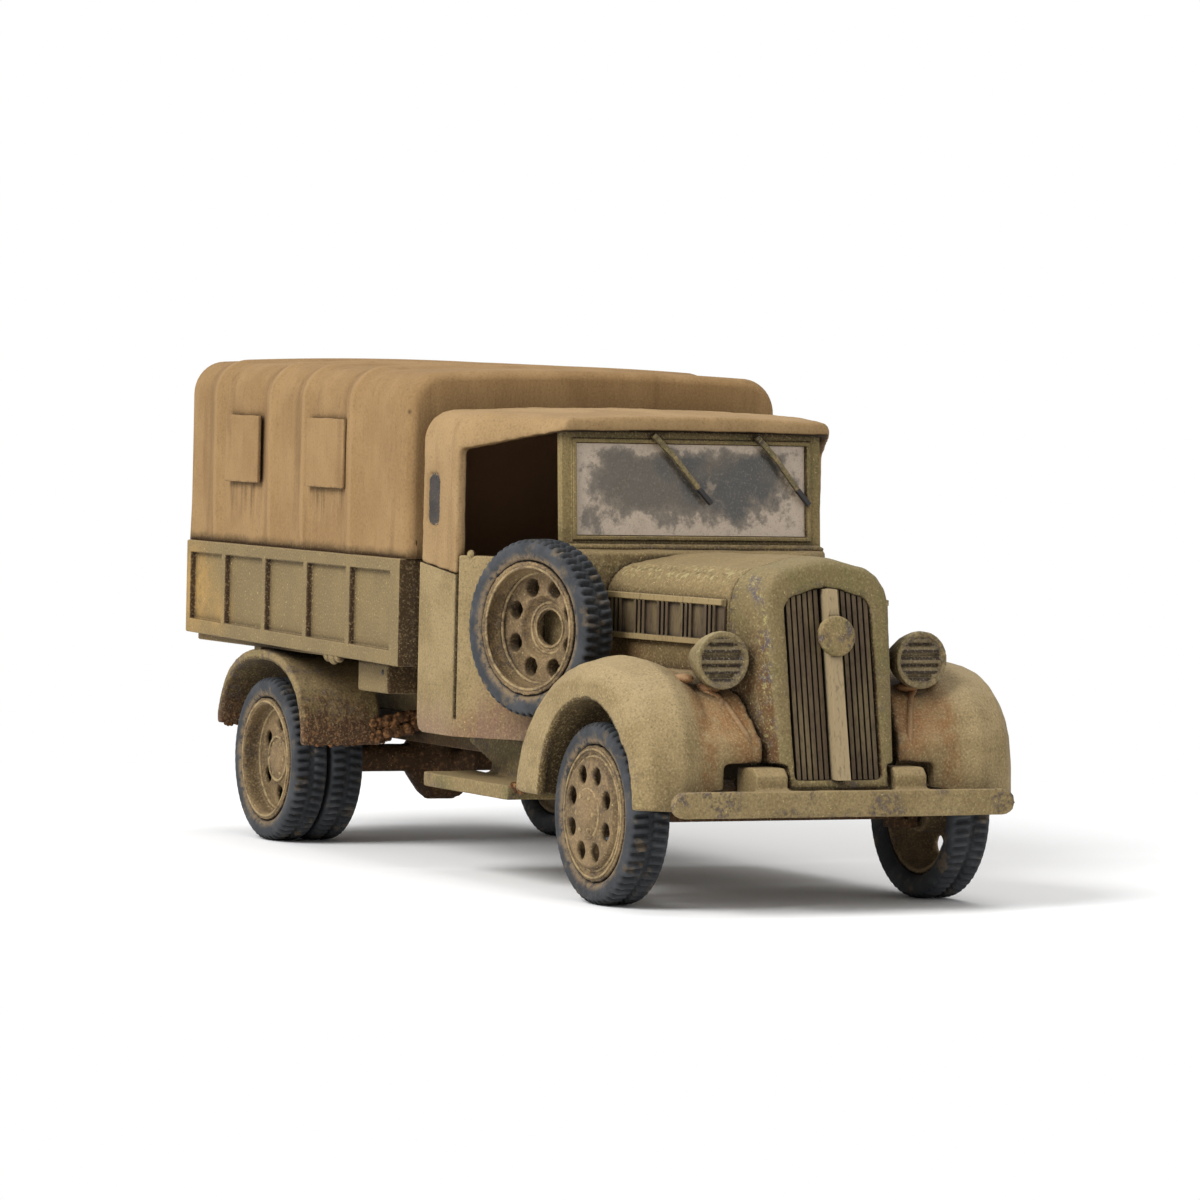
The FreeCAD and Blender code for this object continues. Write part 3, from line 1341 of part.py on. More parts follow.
def spare_placed(shape):
    """Lays a wheel, made facing +Y, against the right cab side with its face turned forward."""
    laid = moved(shape, 0, SPARE_TYRE_W / 2, 0)
    laid.rotate(V(0, 0, 0), V(0, 0, 1), 180 + SPARE_YAW)
    return moved(laid, SPARE_BACK_X, -SPARE_BACK_Y, SPARE_Z)


def spare_well():
    """The room that the right front fender leaves for the spare tyre."""
    reach = SPARE_TYRE_W / 2 + SPARE_CLEARANCE
    room = bar(TYRE_R + SPARE_CLEARANCE, V(0, -reach, 0), V(0, reach, 0), WHEEL_SIDES)
    return spare_placed(room)


def export(name, shape, forward=0):
    final = moved(shape, forward - ORIGIN_X, 0, -GROUND)
    final.exportStep("parts/" + name + ".step")
    print(name, len(final.Solids), final.isValid(), round(final.Volume, 2))


def export_pair(name, left, forward=0):
    export(name + "_left", left, forward)
    export(name + "_right", mirrored(left), forward)


os.makedirs("parts", exist_ok=True)

rear_tyre = tyre(REAR_TYRE_W)
twin_tyres = [moved(rear_tyre, 0, REAR_OUTER_Y, AXLE_Z), moved(rear_tyre, 0, REAR_INNER_Y, AXLE_Z)]
front_tyre = tyre(FRONT_TYRE_W)
fender_left = front_fender()
lamp = headlamp()

# Running gear
export_pair("front_tyre", moved(front_tyre, 0, FRONT_WHEEL_Y, AXLE_Z), WHEELBASE)
export_pair("front_wheel", moved(front_wheel(), 0, FRONT_WHEEL_Y, AXLE_Z), WHEELBASE)
export_pair("rear_tyres", Part.makeCompound(twin_tyres))
export_pair("rear_wheel", moved(rear_wheels(), 0, REAR_OUTER_Y, AXLE_Z))
export("spare_tyre", spare_placed(tyre(SPARE_TYRE_W)), WHEELBASE)
export("spare_wheel", spare_placed(spare_wheel()), WHEELBASE)
export("chassis_frame", chassis_frame())
export("front_axle", front_axle(), WHEELBASE)
export("steering_knuckles", both_sides(knuckle()), WHEELBASE)
export("rear_axle", rear_axle())
export("front_springs", both_sides(spring(FRONT_SPRING_HALF_L, AXLE_Z + BEAM_HALF)), WHEELBASE)
export("rear_springs", both_sides(spring(REAR_SPRING_HALF_L, AXLE_Z + AXLE_TUBE_R)))
export("front_bumper", bumper(), WHEELBASE)

# Bed
export("bed_floor", bed_floor())
export_pair("bed_side", bed_side())
export("headboard", headboard())
export("tailgate", tailgate())
export("toolboxes", both_sides(toolbox()))
export("canopy", canopy())
export("window_flaps", window_flaps())
export_pair("rear_fender", rear_fender())

# Cab
export("cab_floor", cab_floor(), WHEELBASE)
export_pair("cab_side", cab_side(), WHEELBASE)
export("cab_rear_wall", cab_rear_wall(), WHEELBASE)
export("cab_canvas_top", cab_canvas_top(), WHEELBASE)
export("bench_seat", bench_seat(), WHEELBASE)
export("steering_wheel", steering_wheel(), WHEELBASE)
export("scuttle", scuttle(), WHEELBASE)
export("windscreen_frame", windscreen_frame(), WHEELBASE)
export("windscreen_pane", windscreen_pane(), WHEELBASE)
export("wipers", Part.makeCompound([wiper(top, tip) for top, tip in WIPER_Y]), WHEELBASE)

# Nose
export("bonnet", bonnet(), WHEELBASE)
export("bonnet_louvres", both_sides(louvre_panel()), WHEELBASE)
export("grille_shell", grille_shell(), WHEELBASE)
export("grille", grille(), WHEELBASE)
export("nose_boss", nose_boss(), WHEELBASE)
export("front_fender_left", fender_left, WHEELBASE)
export("front_fender_right", mirrored(fender_left).cut(spare_well()), WHEELBASE)
export_pair("headlamp", lamp.cut(fender_left), WHEELBASE)
export_pair("running_board", running_board(), WHEELBASE)
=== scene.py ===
# %% [markdown]
# # A painted scale model of a military cargo truck
#
# The truck is a small cast and hand-painted model. The precise pieces come from the imported frame, where
# every piece already has its real size and place. This lesson gives them their looks: soft cast edges,
# lugged tyres, a draped canvas cover, and paint with washes and painted shade, dry-brushed edges that carry
# a painted highlight, chips and mud.
# A model this small could be made from scratch, but then nothing would fit. Building around the frame
# keeps each wheel on its axle, so the lesson only adds shape where the frame is plain.

# %% Load the frame
import math

import bpy
import bmesh
from mathutils import Matrix, Vector, noise
from mathutils.bvhtree import BVHTree


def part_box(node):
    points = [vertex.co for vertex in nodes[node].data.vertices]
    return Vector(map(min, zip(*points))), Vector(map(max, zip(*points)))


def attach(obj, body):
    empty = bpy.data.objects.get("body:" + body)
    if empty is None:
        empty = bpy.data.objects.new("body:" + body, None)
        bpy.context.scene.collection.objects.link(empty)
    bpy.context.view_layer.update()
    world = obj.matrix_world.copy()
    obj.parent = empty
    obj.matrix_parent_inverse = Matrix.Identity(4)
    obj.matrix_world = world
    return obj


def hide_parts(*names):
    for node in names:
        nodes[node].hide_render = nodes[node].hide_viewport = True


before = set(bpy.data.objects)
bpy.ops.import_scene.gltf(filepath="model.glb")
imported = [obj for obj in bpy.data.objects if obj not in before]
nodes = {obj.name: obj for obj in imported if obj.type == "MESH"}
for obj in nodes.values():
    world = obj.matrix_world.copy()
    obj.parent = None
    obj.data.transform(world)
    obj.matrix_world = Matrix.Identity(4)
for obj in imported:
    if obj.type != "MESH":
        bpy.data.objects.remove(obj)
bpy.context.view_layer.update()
MM = 0.001
print("pieces in the frame:", len(nodes))

# %% [markdown]
# ## Where the camera stands
#
# The photograph was taken with a long lens, low down, in front of the truck's right side. A camera can be
# aimed by hand or with a tracking constraint. Here its place and its three directions are written down,
# because they were worked out from the wheels and the bumper, and a small roll would be lost in aiming.

# %% Camera
CAMERA_PLACE = Vector((496.845, -244.17, 46.08)) * MM
CAMERA_RIGHT = Vector((0.44235, 0.89656, 0.02250))
CAMERA_UP = Vector((-0.04395, -0.00338, 0.99904))
FOCAL_PIXELS = 5862.1
PHOTO_PIXELS = 1200
SENSOR_MM = 36.0


def add_camera():
    right = CAMERA_RIGHT.normalized()
    up = (CAMERA_UP - right * CAMERA_UP.dot(right)).normalized()
    back = right.cross(up)
    data = bpy.data.cameras.new("photo_camera")
    data.sensor_width = SENSOR_MM
    data.lens = FOCAL_PIXELS * SENSOR_MM / PHOTO_PIXELS
    data.clip_start = 0.01
    data.clip_end = 20.0
    camera = bpy.data.objects.new("photo_camera", data)
    turn = Matrix((right, up, back)).transposed().to_4x4()
    camera.matrix_world = Matrix.Translation(CAMERA_PLACE) @ turn
    bpy.context.scene.collection.objects.link(camera)
    bpy.context.scene.camera = camera
    return data.lens


print("lens in mm:", round(add_camera(), 1))

# %% [markdown]
# ## Paint as a stack of layers
#
# A model painter works in layers: a base coat, a dark wash that runs into the creases, a light dry brush
# that catches the edges, then chips and mud. Here the wash in the creases also serves as painted shade, and
# the dry brush on the edges as a painted highlight. A picture texture could hold all that, but it would need
# unwrapping and would look stretched. Noise in the piece's own millimetres has no seams, so each layer
# below is noise, or a mask that finds creases and edges, mixed over the layer before.

# %% Colours and the node tree


def colour(red, green, blue):
    """A colour as it is seen on screen, from 0 to 255, turned into the renderer's linear values."""
    return tuple(((c / 255 + 0.055) / 1.055) ** 2.4 if c > 10 else c / 255 / 12.92
                 for c in (red, green, blue)) + (1.0,)


class Nodes:
    """Adds nodes to a tree, joins them and does sums with them."""

    def __init__(self, tree):
        self.tree = tree

    def add(self, kind, **settings):
        node = self.tree.nodes.new(kind)
        for key, value in settings.items():
            setattr(node, key, value)
        return node

    def link(self, start, end):
        self.tree.links.new(start, end)

    def feed(self, socket, value):
        if isinstance(value, bpy.types.NodeSocket):
            self.link(value, socket)
        else:
            socket.default_value = value

    def calc(self, operation, a, b=0.0):
        node = self.add("ShaderNodeMath", operation=operation)
        self.feed(node.inputs[0], a)
        self.feed(node.inputs[1], b)
        return node.outputs[0]

    def step(self, value, low, high):
        """0 below low, 1 above high, and smooth between; low may be above high to turn it round."""
        node = self.add("ShaderNodeMapRange", interpolation_type="SMOOTHSTEP")
        self.feed(node.inputs["Value"], value)
        node.inputs["From Min"].default_value = low
        node.inputs["From Max"].default_value = high
        return node.outputs[0]


# %% [markdown]
# A mask is a value from 0 to 1 that says where a layer lies. Some masks are noise, some find creases and
# edges from how much of the surroundings a point sees, and some look at where a point is or which way it
# faces. Painting masks by hand would be freer, but these follow the shape when it changes.

# %% Masks


class Masks(Nodes):
    """Adds masks to a new material, measured in millimetres of the piece's own space."""

    def __init__(self, name):
        self.material = bpy.data.materials.new(name)
        self.material.use_nodes = True
        super().__init__(self.material.node_tree)
        self.shader = self.tree.nodes["Principled BSDF"]
        coordinates = self.add("ShaderNodeTexCoord")
        scale = self.add("ShaderNodeVectorMath", operation="SCALE")
        scale.inputs["Scale"].default_value = 1 / MM
        self.link(coordinates.outputs["Object"], scale.inputs[0])
        self.place = scale.outputs[0]

    def grain(self, size, detail=3.0, stretch=(1.0, 1.0, 1.0), roughness=0.55, shift=0.0):
        """Noise whose lumps are about this many millimetres across."""
        moved = self.add("ShaderNodeMapping")
        self.link(self.place, moved.inputs["Vector"])
        moved.inputs["Location"].default_value = (shift, shift * 0.7, shift * 1.3)
        moved.inputs["Scale"].default_value = [1 / s for s in stretch]
        node = self.add("ShaderNodeTexNoise")
        self.link(moved.outputs[0], node.inputs["Vector"])
        node.inputs["Scale"].default_value = 1 / size
        node.inputs["Detail"].default_value = detail
        node.inputs["Roughness"].default_value = roughness
        return node.outputs["Fac"]

    def patchy(self, low, high, size, detail=3.0, **settings):
        """Noise cut to a mask, 0 where it is below low and 1 where it is above high."""
        return self.step(self.grain(size, detail, **settings), low, high)

    def crease(self, reach, low, high):
        """1 deep in a crease or under a ledge, 0 in the open."""
        node = self.add("ShaderNodeAmbientOcclusion", samples=6)
        node.inputs["Distance"].default_value = reach * MM
        return self.step(node.outputs["AO"], high, low)

    def edge(self, reach, low, high):
        """1 along outward edges, 0 on flat and hollow places."""
        node = self.add("ShaderNodeAmbientOcclusion", samples=6, inside=True, only_local=True)
        node.inputs["Distance"].default_value = reach * MM
        return self.step(node.outputs["AO"], low, high)

    def axis(self, name):
        node = self.add("ShaderNodeSeparateXYZ")
        self.link(self.place, node.inputs[0])
        return node.outputs[name]

    def across(self):
        """How far a point is from the truck's middle plane."""
        return self.calc("ABSOLUTE", self.axis("Y"))

    def side(self, name):
        """How far the surface faces along an axis."""
        geometry = self.add("ShaderNodeNewGeometry")
        node = self.add("ShaderNodeSeparateXYZ")
        self.link(geometry.outputs["Normal"], node.inputs[0])
        return node.outputs[name]

    def near(self, centre, radius, core=0.0):
        """1 within a core round a place, 0 beyond a radius, in millimetres; left and right count alike."""
        joined = self.add("ShaderNodeCombineXYZ")
        self.link(self.axis("X"), joined.inputs["X"])
        self.link(self.across(), joined.inputs["Y"])
        self.link(self.axis("Z"), joined.inputs["Z"])
        away = self.add("ShaderNodeVectorMath", operation="DISTANCE")
        self.link(joined.outputs[0], away.inputs[0])
        away.inputs[1].default_value = centre
        return self.step(away.outputs["Value"], radius, core)

    def inward(self, low, high):
        """1 where the surface faces the truck's middle plane; the limits are in millimetres from it."""
        product = self.calc("MULTIPLY", self.axis("Y"), self.side("Y"))
        return self.step(product, -low, -high)

    def towards(self, x, z, low, high):
        """1 where the surface faces a line that runs across the truck at x and z."""
        along = self.calc("MULTIPLY", self.calc("SUBTRACT", x, self.axis("X")), self.side("X"))
        upward = self.calc("MULTIPLY", self.calc("SUBTRACT", z, self.axis("Z")), self.side("Z"))
        return self.step(self.calc("ADD", along, upward), low, high)

    def band(self, value, middle, reach):
        """1 where a value is at its middle and 0 beyond a reach on either side."""
        return self.step(self.calc("ABSOLUTE", self.calc("SUBTRACT", value, middle)), reach, reach * 0.2)

    def both(self, *masks):
        """1 only where all of the masks are 1."""
        result = masks[0]
        for mask in masks[1:]:
            result = self.calc("MULTIPLY", result, mask)
        return result


# %% [markdown]
# Each coat mixes a colour over what is already there, as a brush would. Height is kept beside the colour, so
# that chips sink in and mud stands out in the bump.

# %% Coats


class Layers(Masks):
    """Builds one material from the bottom layer up."""

    def __init__(self, name):
        super().__init__(name)
        self.paint = None
        self.height = None

    def coat(self, tint, mask=1.0, amount=1.0):
        """Lays a colour, or another socket's colour, over what is there, as thick as mask and amount say."""
        if self.paint is None:
            node = self.add("ShaderNodeRGB")
            node.outputs[0].default_value = tint
            self.paint = node.outputs[0]
            return
        if amount != 1.0:
            mask = self.calc("MULTIPLY", mask, amount)
        node = self.add("ShaderNodeMix", data_type="RGBA")
        self.feed(node.inputs[0], mask)
        self.link(self.paint, node.inputs[6])
        self.feed(node.inputs[7], tint)
        self.paint = node.outputs[2]

    def raise_by(self, amount, mask):
        """Adds to the height in millimetres where the mask says."""
        lift = self.calc("MULTIPLY", mask, amount)
        self.height = lift if self.height is None else self.calc("ADD", self.height, lift)

    def finish(self, roughness, shine=0.35):
        self.link(self.paint, self.shader.inputs["Base Color"])
        self.feed(self.shader.inputs["Roughness"], roughness)
        self.shader.inputs["Specular IOR Level"].default_value = shine
        if self.height is not None:
            bump = self.add("ShaderNodeBump")
            bump.inputs["Strength"].default_value = 1.0
            bump.inputs["Distance"].default_value = MM
            self.link(self.height, bump.inputs["Height"])
            self.link(bump.outputs[0], self.shader.inputs["Normal"])
        return self.material


# %% [markdown]
# ## Body paint
#
# The metal parts are olive over brown. The base is mottled with two neighbouring tones, a brown wash with
# painted shade sits in the creases, the faces that look up get dust and a painted highlight, and the edges
# are dry-brushed with tan as a painted highlight. Chips show lilac-grey and a sour green along the edges,
# and mud climbs from below. The same recipe, with its colours and amounts passed in, also paints the
# wheels and the chassis, so one function serves them all.

# %% Colours of the body
OLIVE = colour(122, 104, 68)
OLIVE_LIGHT = colour(140, 121, 84)
OLIVE_GREEN = colour(104, 94, 56)
OLIVE_DARK = colour(114, 97, 63)
# The tan of the dry brush, laid on the edges and the tops as a painted highlight.
DRY_BRUSH = colour(168, 146, 108)
# The brown of the wash, which also serves as painted shade in the creases.
WASH_AND_SHADE = colour(46, 32, 18)
LILAC_CHIP = colour(84, 75, 76)
SOUR_CHIP = colour(160, 150, 98)
SPECK = colour(204, 184, 130)
MUD = colour(72, 48, 28)
MUD_LIGHT = colour(140, 100, 64)
RUST_WASH = colour(122, 80, 40)

# %% [markdown]
# The recipe runs from the base up: mottling, dust and a painted highlight on the faces that look up, stains,
# a piece's own marks, the wash with painted shade in the creases, the dry brush as a painted highlight on
# the edges, chips, mud and at last a fine grain over everything. The order matters, because each coat covers
# those before it.

# %% The body paint recipe


def add_chips(layers, chipping, reach):
    """Lilac-grey chips and sour green rubbing, within a reach of the edges."""
    near_edge = layers.edge(reach, 0.8, 0.35)
    where = layers.grain(4.5, 2.0, shift=33.0)
    chip_noise = layers.grain(0.7, 8.0, roughness=0.8, shift=21.0)
    chips = layers.both(near_edge, layers.step(chip_noise, 0.51, 0.54), layers.step(where, 0.48, 0.58))
    layers.coat(LILAC_CHIP, chips, 0.85 * chipping)
    layers.raise_by(-0.04, chips)
    sour_noise = layers.patchy(0.57, 0.64, 0.3, 3.0, roughness=0.7, shift=55.0)
    sour = layers.both(near_edge, sour_noise, layers.step(where, 0.54, 0.44))
    layers.coat(SOUR_CHIP, sour, 0.55 * chipping)


def add_mud(layers, top, amount):
    """Gritty mud in two tones that climbs to about a height in millimetres."""
    mud_noise = layers.grain(1.0, 6.0, roughness=0.65, shift=11.0)
    climb = layers.calc("ADD", layers.axis("Z"), layers.calc("MULTIPLY", mud_noise, -9.0))
    mud = layers.calc("MULTIPLY", layers.step(climb, top - 4.5, top - 9.5), amount)
    tint = layers.add("ShaderNodeMix", data_type="RGBA")
    layers.link(layers.patchy(0.5, 0.68, 0.45, 5.0, roughness=0.7, shift=3.0), tint.inputs[0])
    tint.inputs[6].default_value = MUD
    tint.inputs[7].default_value = MUD_LIGHT
    layers.coat(tint.outputs[2], mud)
    layers.raise_by(0.25, layers.calc("MULTIPLY", mud, mud_noise))


# The amount for the faces that look up sets their dust and painted highlight.
def body_paint(name, base=OLIVE, second=OLIVE_GREEN, light=DRY_BRUSH, wash=WASH_AND_SHADE, mud_top=None,
               mud_amount=1.0, top_dust_and_highlight=0.3, stains=(), chipping=1.0, chip_reach=1.4, extra=None):
    """One recipe for all painted metal; extra lays a piece's own layers over the base."""
    layers = Layers(name)
    fine = layers.grain(0.2, 4.0)
    broad = layers.grain(5.0, 3.0)
    layers.coat(base)
    layers.coat(second, layers.step(broad, 0.42, 0.62), 0.8)
    # Dust and a painted highlight on the faces that look up.
    layers.coat(light, layers.step(layers.side("Z"), 0.1, 0.95), top_dust_and_highlight)
    brushed = layers.grain(0.9, 4.0, shift=7.0)
    for centre, radius, tint, amount in stains:
        patch = layers.both(layers.near(centre, radius), layers.step(brushed, 0.15, 0.6))
        layers.coat(tint, patch, amount)
    if extra:
        extra(layers)
    # The wash in the creases, broad and then narrow, also darkens them as painted shade.
    layers.coat(wash, layers.crease(4.0, 0.3, 0.95), 0.45)
    layers.coat(wash, layers.crease(1.1, 0.35, 0.85), 0.85)
    # Dry brush on the outward edges: a painted highlight.
    dry_brush_highlight = layers.both(layers.edge(0.45, 0.55, 0.15), layers.step(brushed, 0.3, 0.6))
    layers.coat(light, dry_brush_highlight, 0.75)
    add_chips(layers, chipping, chip_reach)
    if mud_top is not None:
        add_mud(layers, mud_top, mud_amount)
    layers.coat(light, layers.step(fine, 0.48, 0.74), 0.5)
    layers.coat(wash, layers.step(fine, 0.5, 0.22), 0.55)
    specks = layers.patchy(0.8, 0.84, 0.2, 0.0, shift=71.0)
    layers.coat(SPECK, specks, 0.55)
    layers.raise_by(0.05, fine)
    layers.raise_by(0.05, broad)
    layers.raise_by(0.05, specks)
    return layers.finish(layers.step(fine, -0.6, 1.0), 0.3)


# %% [markdown]
# Some pieces have marks of their own: a cracked hinge line along the bonnet, painted shade inside the wheel
# arches with yellow specks, ribs on the lamps, a wash that runs down the cab side, and painted shade on the
# faces that look one way. Each is a short function that the recipe calls after its base coat. Their places
# come from the frame.

# %% Places on the frame
HINGE_Z = 29.1
lamp_low, lamp_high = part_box("headlamp_left")
LAMP_PLACE = ((lamp_low.y + lamp_high.y) / 2 / MM, lamp_high.z / MM - 2.55)
LAMP_RIB_PITCH = 0.62
front_wheel_low, front_wheel_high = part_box("front_wheel_left")
rear_wheel_low, rear_wheel_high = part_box("rear_wheel_left")
FRONT_AXLE_X = (front_wheel_low.x + front_wheel_high.x) / 2 / MM
REAR_AXLE_X = (rear_wheel_low.x + rear_wheel_high.x) / 2 / MM
AXLE_Z = (front_wheel_low.z + front_wheel_high.z) / 2 / MM
print("axles at", round(FRONT_AXLE_X, 2), round(REAR_AXLE_X, 2), "height", round(AXLE_Z, 2))

# %% Marks on the nose and the fenders


def hinge_line(layers):
    """The cracked hinge line along the bonnet's shoulder."""
    wander = layers.calc("MULTIPLY", layers.grain(1.4, 6.0, roughness=0.7, shift=80.0), 1.6)
    height = layers.calc("ADD", layers.axis("Z"), wander)
    broken = layers.patchy(0.42, 0.56, 1.0, 4.0, shift=90.0)
    crack = layers.both(layers.band(height, HINGE_Z + 0.8, 0.16), broken)
    layers.coat(colour(84, 70, 42), crack, 0.7)
    speckle = layers.patchy(0.52, 0.62, 0.5, 4.0, shift=95.0)
    around = layers.both(layers.band(height, HINGE_Z + 0.7, 1.0), speckle)
    layers.coat(colour(176, 166, 118), around, 0.45)


def arch_shade(axle_x):
    """Painted shade on the inside of a wheel arch, with its yellow specks."""
    def shade(layers):
        inside = layers.towards(axle_x, AXLE_Z, 1.0, 3.5)
        # Painted shade on the faces that look towards the axle.
        layers.coat(colour(78, 62, 32), inside)
        speckle = layers.patchy(0.55, 0.65, 0.35, 4.0, roughness=0.7, shift=44.0)
        layers.coat(colour(150, 130, 74), layers.both(inside, speckle), 0.6)
    return shade


def front_fender_layers(layers):
    """Painted shade inside the arch, and the rusty wash where the catwalk meets the fender and the nose."""
    arch_shade(FRONT_AXLE_X)(layers)
    across = layers.across()
    forward = layers.step(layers.axis("X"), 40.0, 44.0)
    uneven = layers.patchy(0.25, 0.6, 1.2, 4.0, shift=64.0)
    beside_fender = layers.both(layers.band(across, 12.0, 1.3), forward, uneven)
    layers.coat(RUST_WASH, beside_fender, 0.6)
    beside_nose = layers.both(layers.step(across, 10.4, 8.0), uneven)
    layers.coat(RUST_WASH, beside_nose, 0.65)


def nose_side(layers):
    """The deep orange-brown wash low on the nose's sides, which also serves as painted shade, behind its
    pale front edge.
    """
    sideways = layers.step(layers.calc("ABSOLUTE", layers.side("Y")), 0.75, 0.97)
    uneven = layers.patchy(0.2, 0.6, 1.6, 4.0, shift=64.0)
    low = layers.step(layers.axis("Z"), 27.0, 20.0)
    # A deep orange-brown wash low on the sides, also painted shade.
    layers.coat(colour(92, 58, 30), layers.both(sideways, uneven, low), 0.95)
    wander = layers.calc("MULTIPLY", layers.grain(1.2, 4.0, shift=26.0), 1.2)
    across = layers.calc("ADD", layers.across(), wander)
    front_edge = layers.both(layers.band(across, 6.75, 0.55), layers.step(layers.side("X"), 0.2, 0.4))
    in_places = layers.patchy(0.42, 0.58, 2.6, 2.0, shift=28.0)
    broken = layers.patchy(0.48, 0.54, 0.8, 6.0, roughness=0.75, shift=27.0)
    layers.coat(LILAC_CHIP, layers.both(front_edge, broken, in_places))
    pale = layers.patchy(0.54, 0.62, 0.4, 5.0, roughness=0.7, shift=29.0)
    layers.coat(SOUR_CHIP, layers.both(front_edge, pale), 0.75)


# %% [markdown]
# The lamps get their painted ribs. The cab and the bed get painted shade on the faces that look one way, and
# the cab side also gets a wash.

# %% Marks on the lamps, the cab and the bed


def lamp_ribs(layers):
    """Fine dark ribs across the headlamp's round front."""
    across = layers.calc("SUBTRACT", layers.across(), LAMP_PLACE[0])
    upward = layers.calc("SUBTRACT", layers.axis("Z"), LAMP_PLACE[1])
    across_squared = layers.calc("MULTIPLY", across, across)
    squared = layers.calc("ADD", across_squared, layers.calc("MULTIPLY", upward, upward))
    lens = layers.both(layers.step(squared, 4.3, 3.7), layers.step(layers.side("X"), 0.5, 0.8))
    wave = layers.calc("SINE", layers.calc("MULTIPLY", upward, 2 * math.pi / LAMP_RIB_PITCH))
    layers.coat(colour(112, 98, 72), lens)
    layers.coat(colour(44, 34, 26), layers.both(lens, layers.step(wave, -0.1, 0.5)))


def streaked_foot(layers):
    """A mauve wash that runs down the cab side, and painted shade on the inner face."""
    painted_shade_inwards(layers)
    tall = layers.grain(1.2, 4.0, stretch=(1.0, 1.0, 5.0), shift=12.0)
    low = layers.calc("ADD", layers.axis("Z"), layers.calc("MULTIPLY", tall, -8.0))
    layers.coat(colour(116, 90, 74), layers.step(low, 13.0, 8.5), 0.7)


def painted_shade_on_fronts(layers):
    """Brown painted shade on the faces that look forward, such as each post's forward side."""
    # Painted shade on the faces that look forward.
    forward = layers.step(layers.side("X"), 0.35, 0.8)
    layers.coat(colour(66, 47, 26), forward, 0.9)


def painted_shade_behind(layers):
    """Dark brown painted shade where the wall looks into the cab."""
    layers.coat(colour(72, 52, 34), layers.step(layers.side("X"), 0.2, 0.6))


def painted_shade_inwards(layers):
    """Nearly black painted shade on the cab side's inner face."""
    layers.coat(colour(20, 14, 10), layers.inward(0.8, 3.0))


# %% [markdown]
# With the recipe ready, each finish is one call: its own colours where it has any, then how high the mud
# climbs, how much it chips and which marks it has. Stains are soft patches round a place.

# %% Body finishes
NOSE_STAINS = (
    ((37.0, 9.0, 14.5), 8.5, RUST_WASH, 0.9),
    ((29.0, 9.0, 19.5), 6.0, RUST_WASH, 0.7),
    ((41.0, 8.0, 20.0), 5.0, colour(98, 62, 34), 0.6),
    ((46.6, 9.4, 16.5), 5.0, colour(146, 98, 56), 0.75),
    ((17.0, 17.0, 14.5), 6.0, colour(122, 88, 68), 0.8),
    ((13.0, 18.0, 12.5), 4.0, RUST_WASH, 0.6),
)
ORANGE = colour(168, 132, 72)
BED_STAINS = (((-50.0, 19.0, 24.0), 8.0, ORANGE, 0.85), ((-43.0, 19.0, 22.0), 4.0, ORANGE, 0.6))
# A deeper wash, also painted shade in the creases, for the chassis and the wheels.
DEEP_WASH_AND_SHADE = colour(30, 21, 12)
body = body_paint("body_paint", mud_top=6.5, stains=NOSE_STAINS)
bonnet_paint = body_paint("bonnet_paint", OLIVE_DARK, OLIVE, stains=NOSE_STAINS, top_dust_and_highlight=0.12, chipping=0.4,
                          extra=hinge_line)
shell_paint = body_paint("shell_paint", colour(112, 96, 62), light=colour(156, 140, 104), top_dust_and_highlight=0.2,
                         chipping=1.2, extra=nose_side)
frame_paint = body_paint("frame_paint", colour(126, 109, 70), top_dust_and_highlight=0.2, chipping=0.45, chip_reach=0.7)
cab_paint = body_paint("cab_paint", OLIVE_LIGHT, OLIVE, mud_top=6.5, stains=NOSE_STAINS, chip_reach=0.8,
                       chipping=0.8, extra=streaked_foot)
wall_paint = body_paint("cab_wall_paint", mud_top=7.0, extra=painted_shade_behind)
fender_paint = body_paint("fender_paint", OLIVE_LIGHT, OLIVE, colour(176, 156, 120), mud_top=9.5,
                          mud_amount=0.85, stains=NOSE_STAINS, extra=front_fender_layers)
rear_fender_paint = body_paint("rear_fender_paint", mud_top=16.2, extra=arch_shade(REAR_AXLE_X))
bed_paint = body_paint("bed_paint", colour(114, 97, 64), OLIVE, chip_reach=0.6, chipping=0.6,
                       stains=BED_STAINS, extra=painted_shade_on_fronts)
chassis_paint = body_paint("chassis_paint", colour(72, 60, 34), colour(62, 54, 34), colour(104, 88, 58),
                           DEEP_WASH_AND_SHADE, mud_top=13.0, mud_amount=0.9)
wheel_paint = body_paint("wheel_paint", colour(124, 102, 72), colour(98, 80, 54), colour(168, 146, 106),
                         DEEP_WASH_AND_SHADE, top_dust_and_highlight=0.0, chipping=0.35)
lamp_paint = body_paint("lamp_paint", colour(124, 108, 74), colour(106, 94, 62), colour(164, 150, 116),
                        chipping=0.6, extra=lamp_ribs)
bead_paint = body_paint("bead_paint", colour(134, 106, 74), colour(122, 98, 66), colour(166, 134, 100),
                        RUST_WASH, chipping=0.2)
bumper_paint = body_paint("bumper_paint", colour(132, 114, 78), OLIVE)
print("body materials:", len(bpy.data.materials))

# %% [markdown]
# ## Canvas paint
#
# The canvas cover is cast with the rest and painted tan. Dark streaks run down it, so its noise is
# stretched tall: a long value in Z and a short one across. Water marks start below the flaps, a painted
# highlight with painted shade behind it shows each bow, and the inside gets painted shade. A weave could be
# a texture, but at this size the brush marks hide it.

# %% Canvas colours and marks
CANVAS = colour(135, 107, 71)
CANVAS_LIGHT = colour(154, 125, 86)
CANVAS_DARK = colour(96, 72, 44)
EYELET = (0.9, 19.2, 42.5)


